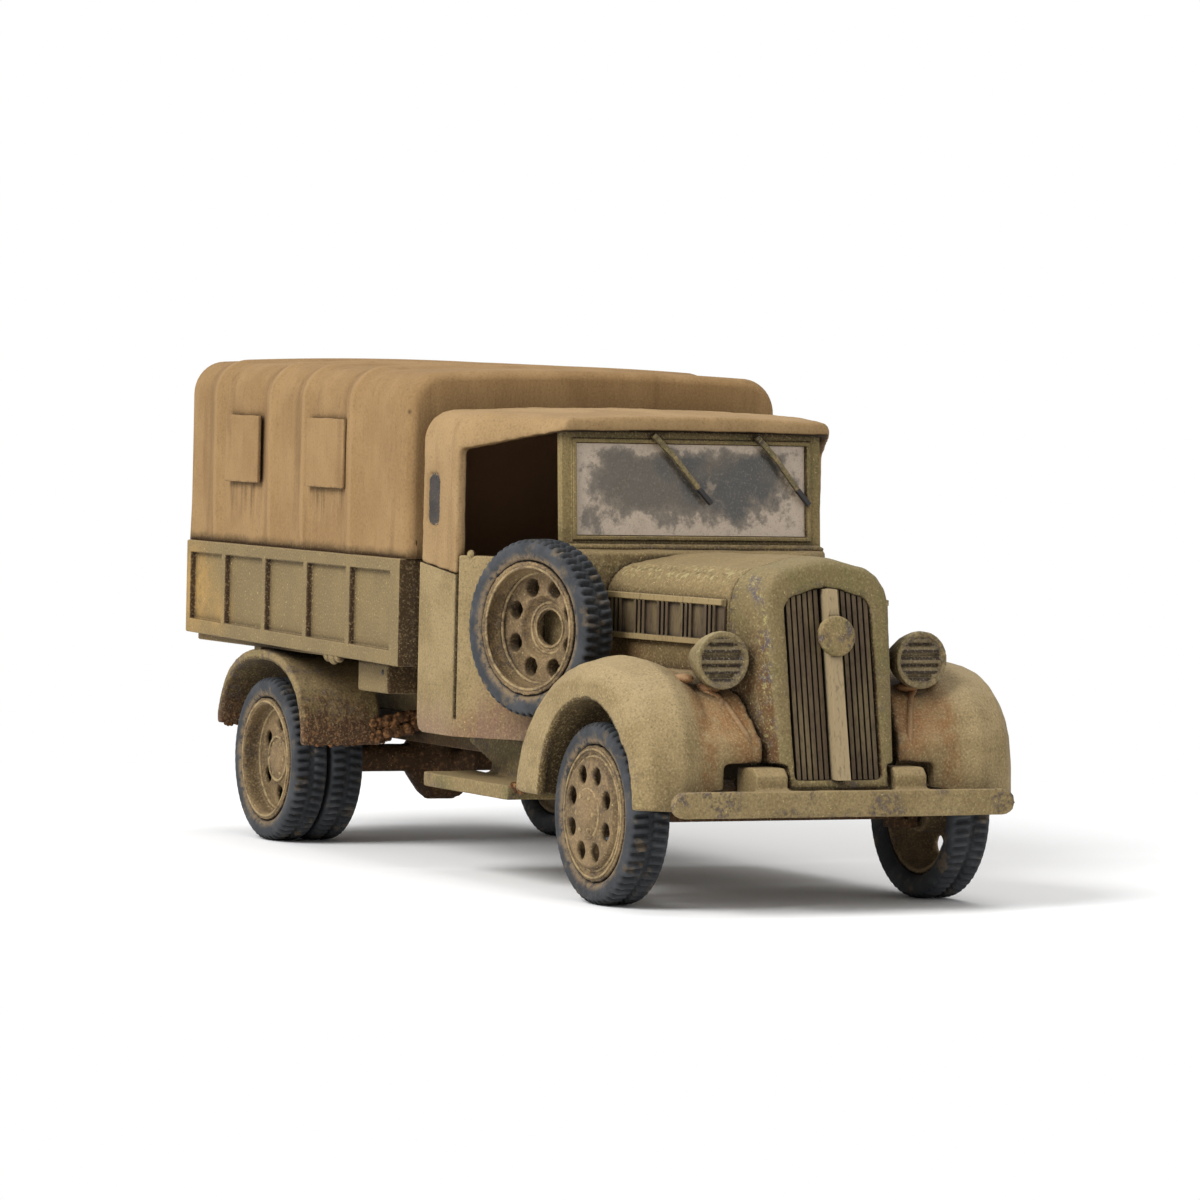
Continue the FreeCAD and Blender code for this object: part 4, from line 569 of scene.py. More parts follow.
def add_bow_highlight_and_shade(layers, bows, light, dark, tall):
    """A painted highlight over each bow, and uneven painted shade behind it."""
    for bow in bows:
        shaded = layers.both(layers.band(layers.axis("X"), bow - 1.5, 1.7), layers.step(tall, 0.3, 0.6))
        layers.coat(dark, shaded, 0.4)
        layers.coat(light, layers.band(layers.axis("X"), bow, 0.6), 0.5)


def add_water_marks(layers, runs, tall, narrow):
    """Dark streaks that start at a height and fade over a length, between two places along the truck."""
    for (x0, x1), top, length in runs:
        across = layers.both(layers.step(layers.axis("X"), x0 - 0.5, x0 + 0.5),
                             layers.step(layers.axis("X"), x1 + 0.5, x1 - 0.5))
        height = layers.axis("Z")
        down = layers.both(layers.step(height, top - length, top), layers.step(height, top + 0.3, top))
        marks = layers.both(across, down, layers.step(tall, 0.35, 0.6), layers.step(narrow, 0.3, 0.7))
        layers.coat(colour(78, 58, 36), marks, 0.9)


def paint_shade_inside(layers, dark_back):
    """Painted shade on the inner walls and under the roof, and on the cab's back wall if it is wanted."""
    layers.coat(colour(50, 36, 24), layers.inward(2.0, 8.0))
    under = layers.step(layers.side("Z"), -0.5, -0.9)
    layers.coat(colour(104, 80, 48), under)
    across = layers.across()
    layers.coat(colour(34, 24, 15), layers.both(under, layers.step(across, 16.5, 12.0)))
    if dark_back:
        behind = layers.step(layers.axis("X"), 12.0, 11.0)
        facing = layers.step(layers.side("X"), 0.5, 0.8)
        layers.coat(colour(98, 70, 46), layers.both(layers.step(across, 17.6, 17.0), behind, facing))


# %% [markdown]
# One recipe serves the cover and the cab's top. Only the cover has bows and flaps, so their marks are passed
# in. The water marks start at the flaps' lower edge, and the bows are measured from the cover's front end.

# %% Canvas paint


def canvas_paint(name, base, light, dark, streak=0.4, foot=None, runs=(), bows=(), dark_back=False):
    """Tan canvas; foot is its lower edge, runs are where dark water marks start, bows are under it."""
    layers = Layers(name)
    fine = layers.grain(0.22, 4.0)
    broad = layers.grain(7.0, 3.0)
    tall = layers.grain(2.2, 4.0, stretch=(1.0, 1.0, 7.0), shift=4.0)
    narrow = layers.grain(0.6, 4.0, stretch=(1.0, 1.0, 9.0), shift=14.0)
    layers.coat(base)
    layers.coat(light, layers.step(broad, 0.4, 0.65), 0.55)
    layers.coat(dark, layers.step(tall, 0.54, 0.75), streak)
    layers.coat(dark, layers.step(narrow, 0.56, 0.78), streak * 0.6)
    layers.coat(light, layers.step(narrow, 0.45, 0.25), 0.3)
    # A painted highlight on each bow and painted shade behind it.
    add_bow_highlight_and_shade(layers, bows, light, dark, tall)
    add_water_marks(layers, runs, tall, narrow)
    if foot is not None:
        # A dark wash and painted shade along the foot, where the cover meets the rail.
        low = layers.calc("ADD", layers.axis("Z"), layers.grain(2.0, 3.0, shift=60.0))
        dirty_and_shaded_foot = layers.step(low, foot + 1.6, foot + 0.6)
        layers.coat(colour(62, 48, 28), dirty_and_shaded_foot, 0.85)
    # The wash in the creases, which also serves as painted shade.
    layers.coat(dark, layers.crease(4.0, 0.3, 0.95), 0.5)
    layers.coat(colour(56, 38, 22), layers.crease(1.2, 0.35, 0.9), 0.8)
    # Dry brush on the outward edges: a painted highlight.
    layers.coat(light, layers.edge(0.5, 0.6, 0.2), 0.5)
    layers.coat(light, layers.step(fine, 0.48, 0.74), 0.4)
    layers.coat(dark, layers.step(fine, 0.5, 0.22), 0.5)
    # Painted shade inside the cover.
    paint_shade_inside(layers, dark_back)
    layers.coat(colour(40, 30, 20), layers.near(EYELET, 0.4))
    layers.raise_by(0.04, fine)
    layers.raise_by(0.05, narrow)
    return layers.finish(layers.step(fine, -1.0, 0.9), 0.2)


flap_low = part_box("window_flaps")[0]
cover_low, cover_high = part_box("canopy")
FLAP_SPANS = ((-41.7, -33.4), (-21.5, -12.7))
BOWS_FROM_FRONT = (12.9, 24.3, 32.5, 46.2)
canvas = canvas_paint("canvas_paint", CANVAS, CANVAS_LIGHT, CANVAS_DARK, foot=cover_low.z / MM,
                      runs=[(span, flap_low.z / MM, 5.0) for span in FLAP_SPANS],
                      bows=[cover_high.x / MM - bow for bow in BOWS_FROM_FRONT])
cab_canvas = canvas_paint("cab_canvas_paint", colour(144, 118, 82), colour(164, 136, 98), CANVAS_DARK,
                          streak=0.22, dark_back=True)
print("canvas ready")

# %% [markdown]
# ## Rubber, grille, glass and the dark inside
#
# The tyres are blue-grey with dusty lug tops and grooves blackened as painted shade, and dust lies where
# each meets its rim.
# The spare leans against the cab side, turned by a few degrees. That direction is read from the frame: the
# faces of its outer side are added up by their area. A turn could be typed in, but this follows the part.

# %% Places of the tyres


def outer_direction(name):
    """The direction in which the right-hand side of a piece looks, from all its faces there."""
    total = Vector((0, 0, 0))
    for polygon in nodes[name].data.polygons:
        normal = polygon.normal
        if normal.y < -0.5 and abs(normal.z) < 0.05:
            total += normal * polygon.area
    return total.normalized()


def tyre_face(name, facing, half=None):
    """The middle of a tyre's outer face, in millimetres; left and right count alike."""
    low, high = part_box(name)
    reach = half or (high.y - low.y) / 2 / MM
    place = (low + high) / 2 / MM + facing * reach
    return place.x, abs(place.y), place.z


SPARE_HALF = 1.75
SIDEWAYS = Vector((0, 1, 0))
spare_facing = outer_direction("spare_tyre")
TYRE_FACES = (tyre_face("front_tyre_left", SIDEWAYS), tyre_face("rear_tyres_left", SIDEWAYS),
              tyre_face("spare_tyre", spare_facing, SPARE_HALF))
print("spare facing", [round(v, 3) for v in spare_facing])

# %% [markdown]
# With those places known, the tyre's stack is blue-grey rubber, dust by the rim, creases blackened as
# painted shade, and worn edges that also carry a painted highlight.

# %% Tyre paint
RIM_DUST_R = 6.15


def tyre_paint():
    layers = Layers("tyre_paint")
    fine = layers.grain(0.2, 4.0)
    broad = layers.grain(2.5, 3.0)
    layers.coat(colour(48, 50, 53))
    layers.coat(colour(63, 65, 68), layers.step(broad, 0.42, 0.66))
    dusty = layers.patchy(0.54, 0.7, 1.6, 5.0, shift=9.0)
    layers.coat(colour(112, 96, 72), dusty, 0.6)
    rim_noise = layers.patchy(0.36, 0.56, 0.7, 5.0, roughness=0.7, shift=31.0)
    for centre in TYRE_FACES:
        by_rim = layers.both(layers.near(centre, RIM_DUST_R + 0.8, RIM_DUST_R), rim_noise)
        layers.coat(colour(134, 113, 84), by_rim, 0.85)
    # Painted shade: the creases between the lugs go nearly black.
    crease = layers.crease(0.7, 0.35, 0.9)
    layers.coat(colour(17, 17, 18), crease, 0.95)
    # Worn edges, lighter, which also serve as a painted highlight.
    edge = layers.edge(0.3, 0.6, 0.2)
    layers.coat(colour(128, 122, 120), layers.both(edge, layers.step(fine, 0.3, 0.7)))
    layers.coat(colour(34, 35, 37), layers.step(fine, 0.5, 0.2), 0.4)
    layers.raise_by(0.04, fine)
    return layers.finish(layers.step(fine, -0.8, 1.0), 0.3)


tyre_rubber = tyre_paint()

# %% [markdown]
# The grille is a brown-black wash over tan bars, with painted shade deep between them and a dry-brushed
# painted highlight on their edges, and its middle bar stays tan. The louvres use the same paint, with the
# two ribs above and below them left in the body's olive.

# %% Grille and louvre paint
louvre_low, louvre_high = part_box("bonnet_louvres")
RIB_LOW = louvre_low.z / MM + 0.58
RIB_HIGH = louvre_high.z / MM - 0.58


def grille_paint(name, plain, tint):
    """Dark washed bars; plain says where the paint keeps its own tint."""
    layers = Layers(name)
    fine = layers.grain(0.25, 4.0, stretch=(1.0, 1.0, 3.0))
    layers.coat(colour(78, 64, 46))
    layers.coat(colour(98, 84, 58), layers.patchy(0.45, 0.65, 2.0, 3.0, stretch=(1.0, 1.0, 4.0)))
    layers.coat(tint, plain(layers))
    # Painted shade deep between the bars.
    layers.coat(colour(22, 16, 13), layers.crease(0.8, 0.3, 0.85))
    layers.coat(colour(44, 34, 26), layers.step(fine, 0.5, 0.7), 0.35)
    # Dry brush on the bars' edges: a painted highlight.
    dry_brush_highlight = layers.both(layers.edge(0.3, 0.6, 0.2), layers.step(fine, 0.6, 0.4), plain(layers))
    layers.coat(DRY_BRUSH, dry_brush_highlight)
    layers.raise_by(0.04, fine)
    return layers.finish(layers.step(fine, -0.5, 1.0), 0.3)


def middle_bar(layers):
    return layers.step(layers.across(), 0.74, 0.68)


def louvre_ribs(layers):
    height = layers.axis("Z")
    low_rib = layers.step(height, RIB_LOW, RIB_LOW - 0.06)
    return layers.calc("MAXIMUM", low_rib, layers.step(height, RIB_HIGH - 0.06, RIB_HIGH))


grille_dark = grille_paint("grille_paint", middle_bar, colour(150, 132, 100))
louvre_dark = grille_paint("louvre_paint", louvre_ribs, OLIVE_LIGHT)

# %% [markdown]
# The windscreen is opaque on this model: a blue-grey sheet with pale dust scumbled in from its edges.

# %% Pane paint


def pane_paint(half_width, low, high):
    """Dust lies thick at the pane's edges and thins to bare grey in its middle."""
    layers = Layers("pane_paint")
    broad = layers.grain(3.0, 9.0, roughness=0.68)
    fine = layers.grain(0.22, 4.0)
    layers.coat(colour(86, 78, 66))
    layers.coat(colour(64, 62, 58), layers.patchy(0.48, 0.66, 5.0, 2.0, shift=17.0))
    side = layers.across()
    from_side = layers.calc("SUBTRACT", half_width, side)
    from_low = layers.calc("SUBTRACT", layers.axis("Z"), low)
    from_high = layers.calc("SUBTRACT", high, layers.axis("Z"))
    inward = layers.calc("MINIMUM", layers.calc("MINIMUM", from_side, from_low),
                         layers.calc("MULTIPLY", from_high, 2.4))
    uneven = layers.calc("ADD", inward, layers.calc("MULTIPLY", broad, -11.0))
    layers.coat(colour(128, 116, 100), layers.step(uneven, -1.8, -4.4), 0.85)
    layers.coat(colour(184, 167, 148), layers.step(uneven, -3.5, -4.7), 0.9)
    layers.coat(colour(156, 141, 122), layers.step(broad, 0.6, 0.66), 0.5)
    layers.coat(colour(126, 117, 106), layers.step(fine, 0.52, 0.72), 0.5)
    layers.coat(colour(56, 50, 44), layers.step(fine, 0.45, 0.25), 0.35)
    layers.raise_by(0.03, fine)
    return layers.finish(layers.step(broad, 0.0, 1.6), 0.4)


pane_low, pane_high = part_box("windscreen_pane")
pane_dusty = pane_paint(pane_high.y / MM, pane_low.z / MM, pane_high.z / MM)

# %% [markdown]
# Two short stacks are left: dark brown painted shade for the inside of the cab, and worn black for the wiper
# blades.

# %% Inside and blade paint


def inside_paint():
    layers = Layers("inside_paint")
    fine = layers.grain(0.4, 4.0)
    # Dark brown that stands in as painted shade inside the cab.
    layers.coat(colour(48, 34, 24))
    layers.coat(colour(26, 18, 13), layers.step(fine, 0.4, 0.7))
    layers.raise_by(0.04, fine)
    return layers.finish(layers.step(fine, -0.6, 1.0), 0.2)


def blade_paint():
    layers = Layers("blade_paint")
    fine = layers.grain(0.3, 4.0)
    layers.coat(colour(44, 42, 42))
    layers.coat(colour(104, 100, 96), layers.both(layers.edge(0.2, 0.6, 0.3), layers.step(fine, 0.4, 0.6)))
    layers.raise_by(0.02, fine)
    return layers.finish(0.6, 0.35)


cab_inside_shade = inside_paint()
blade_black = blade_paint()
print("materials:", len(bpy.data.materials))

# %% [markdown]
# ## Soft cast edges
#
# A cast model has no sharp corners. A round piece of the frame is many-sided, so it is welded, rebuilt as
# an even skin of small squares and then relaxed, which turns facets into curves. A flat piece only needs
# its edges bevelled. Sculpting could do this too, but modifiers leave the frame's own mesh untouched.

# %% Cast skins and soft bevels


def set_paint(obj, material):
    obj.data.materials.clear()
    obj.data.materials.append(material)


def weld(obj):
    """Joins the points that neighbouring faces of the frame don't share yet."""
    modifier = obj.modifiers.new("weld", "WELD")
    modifier.merge_threshold = 1e-6


def cast_skin(name, voxel, relax, material, wobble):
    """Rebuilds a round piece as a relaxed skin; sizes in millimetres."""
    obj = nodes[name]
    weld(obj)
    skin = obj.modifiers.new("skin", "REMESH")
    skin.mode = "VOXEL"
    skin.voxel_size = voxel * MM
    skin.use_smooth_shade = True
    smooth = obj.modifiers.new("relax", "SMOOTH")
    smooth.factor = 0.5
    smooth.iterations = relax
    if wobble:
        texture = bpy.data.textures.new(name + "_wobble", "CLOUDS")
        texture.noise_scale = 2.6 * MM
        displace = obj.modifiers.new("wobble", "DISPLACE")
        displace.texture = texture
        displace.texture_coords = "LOCAL"
        displace.strength = wobble * MM
        displace.mid_level = 0.5
    set_paint(obj, material)


def soft_edges(name, width, material):
    """Bevels the corners of a flat-sided piece; the width is in millimetres."""
    obj = nodes[name]
    weld(obj)
    bevel = obj.modifiers.new("bevel", "BEVEL")
    bevel.width = width * MM
    bevel.segments = 3
    bevel.limit_method = "ANGLE"
    bevel.angle_limit = math.radians(35)
    bevel.harden_normals = True
    set_paint(obj, material)


def both_sides(name):
    """The nodes that a name stands for: one of that name, or else its left and its right."""
    return [name] if name in nodes else [name + "_left", name + "_right"]


# %% [markdown]
# Each round piece is named with the size of its squares, how often it is relaxed, its paint and how much its
# surface wobbles, as a hand-filed casting does.

# %% Round pieces
SKINS = {
    "front_fender": (0.25, 9, fender_paint, 0.12),
    "rear_fender": (0.21, 3, rear_fender_paint, 0.12),
    "grille_shell": (0.2, 3, shell_paint, 0.08),
    "bonnet": (0.28, 6, bonnet_paint, 0.12),
    "scuttle": (0.3, 3, bonnet_paint, 0.1),
    "cab_canvas_top": (0.28, 3, cab_canvas, 0.2),
    "window_flaps": (0.2, 2, canvas, 0.12),
    "headlamp": (0.11, 3, lamp_paint, 0.05),
    "nose_boss": (0.09, 4, body, 0.08),
    "front_wheel": (0.18, 3, wheel_paint, 0.05),
    "rear_wheel": (0.21, 2, wheel_paint, 0.05),
    "spare_wheel": (0.17, 3, wheel_paint, 0.05),
    "front_bumper": (0.2, 3, bumper_paint, 0.08),
    "running_board": (0.25, 2, body, 0.08),
    "rear_axle": (0.3, 3, chassis_paint, 0.1),
    "steering_wheel": (0.13, 2, cab_inside_shade, 0.0),
    "toolboxes": (0.26, 2, bed_paint, 0.1),
}
for name, settings in SKINS.items():
    for node in both_sides(name):
        cast_skin(node, *settings)
print("cast skins:", len(SKINS))

# %% [markdown]
# Each flat piece is named with the width of its bevel and its paint.

# %% Flat pieces
BEVELS = {
    "bed_side": (0.14, bed_paint),
    "headboard": (0.14, bed_paint),
    "tailgate": (0.14, bed_paint),
    "bed_floor": (0.12, bed_paint),
    "cab_side": (0.16, cab_paint),
    "windscreen_frame": (0.12, frame_paint),
    "windscreen_pane": (0.05, pane_dusty),
    "bonnet_louvres": (0.08, louvre_dark),
    "grille": (0.1, grille_dark),
    "chassis_frame": (0.12, chassis_paint),
    "front_axle": (0.1, chassis_paint),
    "steering_knuckles": (0.1, chassis_paint),
    "front_springs": (0.08, chassis_paint),
    "rear_springs": (0.08, chassis_paint),
    "cab_floor": (0.1, cab_inside_shade),
    "cab_rear_wall": (0.12, wall_paint),
    "bench_seat": (0.4, cab_inside_shade),
}
for name, settings in BEVELS.items():
    for node in both_sides(name):
        soft_edges(node, *settings)
print("bevelled:", len(BEVELS))

# %% [markdown]
# ## Tyres with lugs
#
# A truck tyre has a smooth sidewall and a tread of cross bars split by a groove round the middle. It could
# be a torus with a bump map, but lugs show on the outline. So the tyre's section is swept round the axle in
# small steps, and the points in the tread dip between one lug and the next.

# %% Tyre maker
LUGS = 58
STEPS_PER_LUG = 6
LUG_DEPTH = 0.42
LUG_SLANT = 0.12
LUG_TOP_HALF = 0.2
LUG_FLANK = 0.14
GROOVE_HALF = 0.2
LUG_START = 0.3


def tyre_section(half, radius, bore):
    """(y, r, share of the lug's depth) from the inner bead over the tread to the outer bead."""
    side = [
        (half - 0.72, bore, 0.0), (half - 0.3, bore + 0.22, 0.0), (half - 0.1, bore + 0.5, 0.0),
        (half - 0.01, bore + 0.9, 0.0), (half, radius - 0.9, 0.0), (half - 0.03, radius - 0.62, 0.0),
        (half - 0.12, radius - 0.36, 0.08), (half - 0.3, radius - 0.14, 0.45),
        (half - 0.6, radius - 0.02, 1.0), ((half - 0.3) * 0.5, radius, 1.0), (LUG_START, radius, 1.0),
        (GROOVE_HALF, radius - LUG_DEPTH, 0.0),
    ]
    return [(-y, r, d) for y, r, d in side] + [(y, r, d) for y, r, d in reversed(side)]


def lug_dip(phase):
    """0 on top of a lug, 1 at the bottom of the gap after it."""
    along = phase % 1.0
    return max(0.0, min(1.0, (abs(along - 0.5) - LUG_TOP_HALF) / LUG_FLANK))


def join_rows(bm, near, far):
    """Closes the gap between two closed rows of points, like a hoop."""
    for index in range(len(near)):
        nxt = (index + 1) % len(near)
        bm.faces.new((near[index], near[nxt], far[nxt], far[index]))


def add_tyre(bm, centre, half, radius, bore, turn):
    """Adds one tyre to a bmesh; centre in metres, sizes in millimetres, turn a 3 by 3 matrix."""
    section = tyre_section(half, radius, bore)
    count = LUGS * STEPS_PER_LUG
    rings = []
    for step in range(count):
        angle = 2 * math.pi * step / count
        ring = []
        for y, r, share in section:
            phase = step / STEPS_PER_LUG + (0.5 if y > 0 else 0.0) + abs(y) * LUG_SLANT
            deep = r - share * LUG_DEPTH * lug_dip(phase)
            point = Vector((deep * math.sin(angle), y, -deep * math.cos(angle))) * MM
            ring.append(bm.verts.new(turn @ point + centre))
        rings.append(ring)
    for near, far in zip(rings, rings[1:] + rings[:1]):
        join_rows(bm, near, far)


# %% [markdown]
# Every new piece is handed over in the same way: its mesh gets a paint and rides on a body. The tyres' sizes
# come from the frame's plain tyres, which they replace.

# %% Front and rear tyres


def mesh_piece(name, bm, material, body_name, smooth=True):
    """Turns a bmesh into a piece that rides on a body."""
    bmesh.ops.recalc_face_normals(bm, faces=bm.faces)
    data = bpy.data.meshes.new(name)
    bm.to_mesh(data)
    bm.free()
    data.materials.append(material)
    for polygon in data.polygons:
        polygon.use_smooth = smooth
    obj = bpy.data.objects.new(name, data)
    bpy.context.scene.collection.objects.link(obj)
    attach(obj, body_name)
    return obj


def node_middle(name):
    low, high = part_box(name)
    return (low + high) / 2


SIDEWALL = 2.1
TWIN_GAP = 0.3
front_low, front_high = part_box("front_tyre_left")
TYRE_R = (front_high.z - front_low.z) / 2 / MM
FRONT_HALF = (front_high.y - front_low.y) / 2 / MM
BORE = TYRE_R - SIDEWALL
twin_low, twin_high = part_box("rear_tyres_left")
REAR_HALF = ((twin_high.y - twin_low.y) / MM - TWIN_GAP) / 4
STRAIGHT = Matrix.Identity(3)

tyres = {}
for side in ("left", "right"):
    node = "front_tyre_" + side
    bm = bmesh.new()
    add_tyre(bm, node_middle(node), FRONT_HALF, TYRE_R, BORE, STRAIGHT)
    tyres[node] = mesh_piece(node + "_lugged", bm, tyre_rubber, f"front_wheel_{side}_body")
    node = "rear_tyres_" + side
    bm = bmesh.new()
    reach = (REAR_HALF + TWIN_GAP / 2) * MM
    for offset in (-reach, reach):
        add_tyre(bm, node_middle(node) + Vector((0, offset, 0)), REAR_HALF, TYRE_R, BORE, STRAIGHT)
    tyres[node] = mesh_piece(node + "_lugged", bm, tyre_rubber, f"rear_wheels_{side}_body")

# %% [markdown]
# The spare is the same tyre again, turned to the direction that was read from the frame, and fixed to the
# cab. Each lugged tyre takes the place of the frame's plain one.

# %% Spare tyre
spare_turn = Matrix.Rotation(math.atan2(-spare_facing.x, spare_facing.y), 3, "Z")
bm = bmesh.new()
add_tyre(bm, node_middle("spare_tyre"), SPARE_HALF, TYRE_R, BORE, spare_turn)
tyres["spare_tyre"] = mesh_piece("spare_tyre_lugged", bm, tyre_rubber, "truck")
for node, piece in tyres.items():
    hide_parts(node)
print("tyres:", len(tyres), "radius", round(TYRE_R, 2))

# %% [markdown]
# ## The canvas cover
#
# The cover stretches over bows, sags a little between them and closes in front. Cloth simulation would
# tear itself on so thin and tight a shell, and the real one is a casting, so the cover is lofted: one arch
# is drawn, repeated along the truck, and each point moves in or out with the bows, the sag and soft folds.

# %% The cover's arch
COVER_BOW = 0.2
COVER_HALF = cover_high.y / MM - COVER_BOW
COVER_RISE = 0.6
REAR_BOW_SHARE = 0.862
COVER_TOP = cover_high.z / MM - COVER_BOW - COVER_RISE * REAR_BOW_SHARE
COVER_FOOT = cover_low.z / MM
COVER_REAR = cover_low.x / MM
COVER_FRONT = cover_high.x / MM
COVER_CORNER = 3.4
COVER_CROWN = 0.4


def cover_top(x):
    """The height of the cover's ridge, which rises a little to the rear."""
    return COVER_TOP + COVER_RISE * (COVER_FRONT - x) / (COVER_FRONT - COVER_REAR)


def arch_point(x, share, inset, corner):
    """A point of the arch, from its left foot over the top to its right one, and its outward way."""
    half = COVER_HALF - inset
    mirror = 1.0 if share <= 0.5 else -1.0
    walk = share if share <= 0.5 else 1.0 - share
    spring = cover_top(x) - inset - COVER_CROWN - corner
    lengths = (spring - COVER_FOOT, corner * math.pi / 2, half - corner)
    walk = walk * 2 * sum(lengths)
    if walk < lengths[0]:
        y, z, out = half, COVER_FOOT + walk, (1.0, 0.0)
    elif walk < lengths[0] + lengths[1]:
        turn = (walk - lengths[0]) / corner
        y = half - corner + corner * math.cos(turn)
        z = spring + corner * math.sin(turn)
        out = (math.cos(turn), math.sin(turn))
    else:
        left = 1 - (walk - lengths[0] - lengths[1]) / lengths[2]
        y = (half - corner) * left
        z = cover_top(x) - inset - COVER_CROWN * left * left
        out = (0.0, 1.0)
    return y * mirror, z, out[0] * mirror, out[1]


# %% [markdown]
# The canvas stands up on each bow and sags between two of them. Both ends are rounded, and soft folds and a
# wavy hem fade out there, so that the rims stay clean.

# %% Bows, folds and rounded ends
COVER_WALL = 1.55
COVER_ROUND = 1.1
SAG = -0.14
BOW_LIFT = 0.18
BOW_REACH = 1.7


def cover_lift(x):
    """How far the canvas stands out at a place along the truck; it is below 0 between two bows."""
    from_front = COVER_FRONT - x
    lift = SAG
    for bow in BOWS_FROM_FRONT:
        gap = abs(from_front - bow)
        lift = max(lift, BOW_LIFT - 0.34 * min(1.0, (gap / BOW_REACH) ** 1.3))
    return lift


def cover_inset(x):
    """The rounding of both ends, as a quarter circle."""
    near = min(x - COVER_REAR, COVER_FRONT - x)
    if near >= COVER_ROUND:
        return 0.0
    return COVER_ROUND - math.sqrt(max(0.0, COVER_ROUND * COVER_ROUND - (COVER_ROUND - near) ** 2))


def cover_outer(x, share):
    """A point of the outer skin, moved in or out by the bows, the folds and the hem."""
    inset = cover_inset(x)
    y, z, out_y, out_z = arch_point(x, share, inset, COVER_CORNER - inset * 0.6)
    away = min(1.0, (z - COVER_FOOT) / 5.0)
    fade = 1.0 if inset == 0 else max(0.0, 1 - inset / COVER_ROUND)
    folds = noise.noise(Vector((x * 0.28, 3.7, z * 0.05))) * 0.16
    folds += noise.noise(Vector((x * 0.7, 9.1 + y * 0.05, z * 0.09))) * 0.07
    hem = noise.noise(Vector((x * 0.35, 20.0, 0.0))) * 0.12 * (1 - away)
    push = (cover_lift(x) * min(1.0, 0.25 + away) + folds * abs(out_y) + hem) * fade
    push = min(push, COVER_BOW)
    return Vector((x, y + out_y * push, z + out_z * push))


def cover_inner(x, share):
    """A point of the plain inner skin, which stops short of the closed front."""
    deep = min(max(x, COVER_REAR), COVER_FRONT - COVER_ROUND)
    inset = COVER_WALL + max(0.0, COVER_ROUND * 0.6 - (x - COVER_REAR))
    y, z, _, _ = arch_point(x, share, inset, COVER_CORNER - COVER_WALL)
    return Vector((deep, y, z))


# %% [markdown]
# The outer skin has many stations along the truck and the inner one has few. Where both meet, at the open
# rear and along the feet, their rims are joined with triangles.

# %% The cover's mesh
ARCH_STEPS = 141
LENGTH_STEPS = 170
END_STEPS = 9


def cover_places():
    """Stations along the cover: even ones between its ends, and even angles round both ends."""
    start = COVER_REAR + COVER_ROUND
    length = COVER_FRONT - COVER_ROUND - start
    places = [start + length * step / LENGTH_STEPS for step in range(1, LENGTH_STEPS)]
    for step in range(END_STEPS + 1):
        near = COVER_ROUND * (1 - math.cos(math.pi / 2 * step / END_STEPS))
        places += [COVER_REAR + near, COVER_FRONT - near]
    return sorted(places)


def stitch(bm, near, far):
    """Joins two rows of points of different counts with triangles, like a zip."""
    a = b = 0
    while a < len(near) - 1 or b < len(far) - 1:
        share_a = (a + 1) / max(1, len(near) - 1)
        share_b = (b + 1) / max(1, len(far) - 1)
        if b == len(far) - 1 or (a < len(near) - 1 and share_a <= share_b):
            bm.faces.new((near[a], near[a + 1], far[b]))
            a += 1
        else:
            bm.faces.new((near[a], far[b + 1], far[b]))
            b += 1


def make_cover():
    bm = bmesh.new()
    places = cover_places()
    shares = [index / ARCH_STEPS for index in range(ARCH_STEPS + 1)]
    outer = [[bm.verts.new(cover_outer(x, s) * MM) for s in shares] for x in places]
    deepest = COVER_FRONT - COVER_ROUND
    few = [x for x in places[::6] if x < deepest] + [deepest]
    inner = [[bm.verts.new(cover_inner(x, s) * MM) for s in shares[::3]] for x in few]
    for grid in (outer, inner):
        for near, far in zip(grid, grid[1:]):
            for index in range(len(near) - 1):
                bm.faces.new((near[index], near[index + 1], far[index + 1], far[index]))
        end = bm.faces.new(grid[-1])
        bmesh.ops.triangulate(bm, faces=[end])
    stitch(bm, outer[0], inner[0])
    for foot in (0, -1):
        stitch(bm, [row[foot] for row in outer], [row[foot] for row in inner])
    return bm


cover = mesh_piece("canvas_cover", make_cover(), canvas, "truck")
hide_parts("canopy")
print("cover faces:", len(cover.data.polygons))

# %% [markdown]
# ## Wipers
#
# Each wiper is a flat arm that hangs from the head of the windscreen, with a short black blade at its tip.
# The frame's wiper is a plain bar. It could be bent by a curve, but here its two ends are read from the
# frame and new bars are built between them, so that each wiper keeps its place.

# %% Tools for the wipers
SCREEN_OUTWARD = Vector((1, 0, 0.067)).normalized()


def island_ends(name):
    """The top and bottom points of each separate bar in a piece, from left to right."""
    work = bmesh.new()
    work.from_mesh(nodes[name].data)
    bmesh.ops.remove_doubles(work, verts=work.verts, dist=1e-6)
    left = set(work.verts)
    ends = []
    while left:
        island = {left.pop()}
        grow = list(island)
        while grow:
            vert = grow.pop()
            for edge in vert.link_edges:
                other = edge.other_vert(vert)
                if other in left:
                    left.discard(other)
                    island.add(other)
                    grow.append(other)
        points = sorted((v.co.copy() for v in island), key=lambda p: p.z)
        low = sum(points[:4], Vector()) / 4
        high = sum(points[-4:], Vector()) / 4
        ends.append((high, low))
    work.free()
    return sorted(ends, key=lambda pair: pair[0].y)


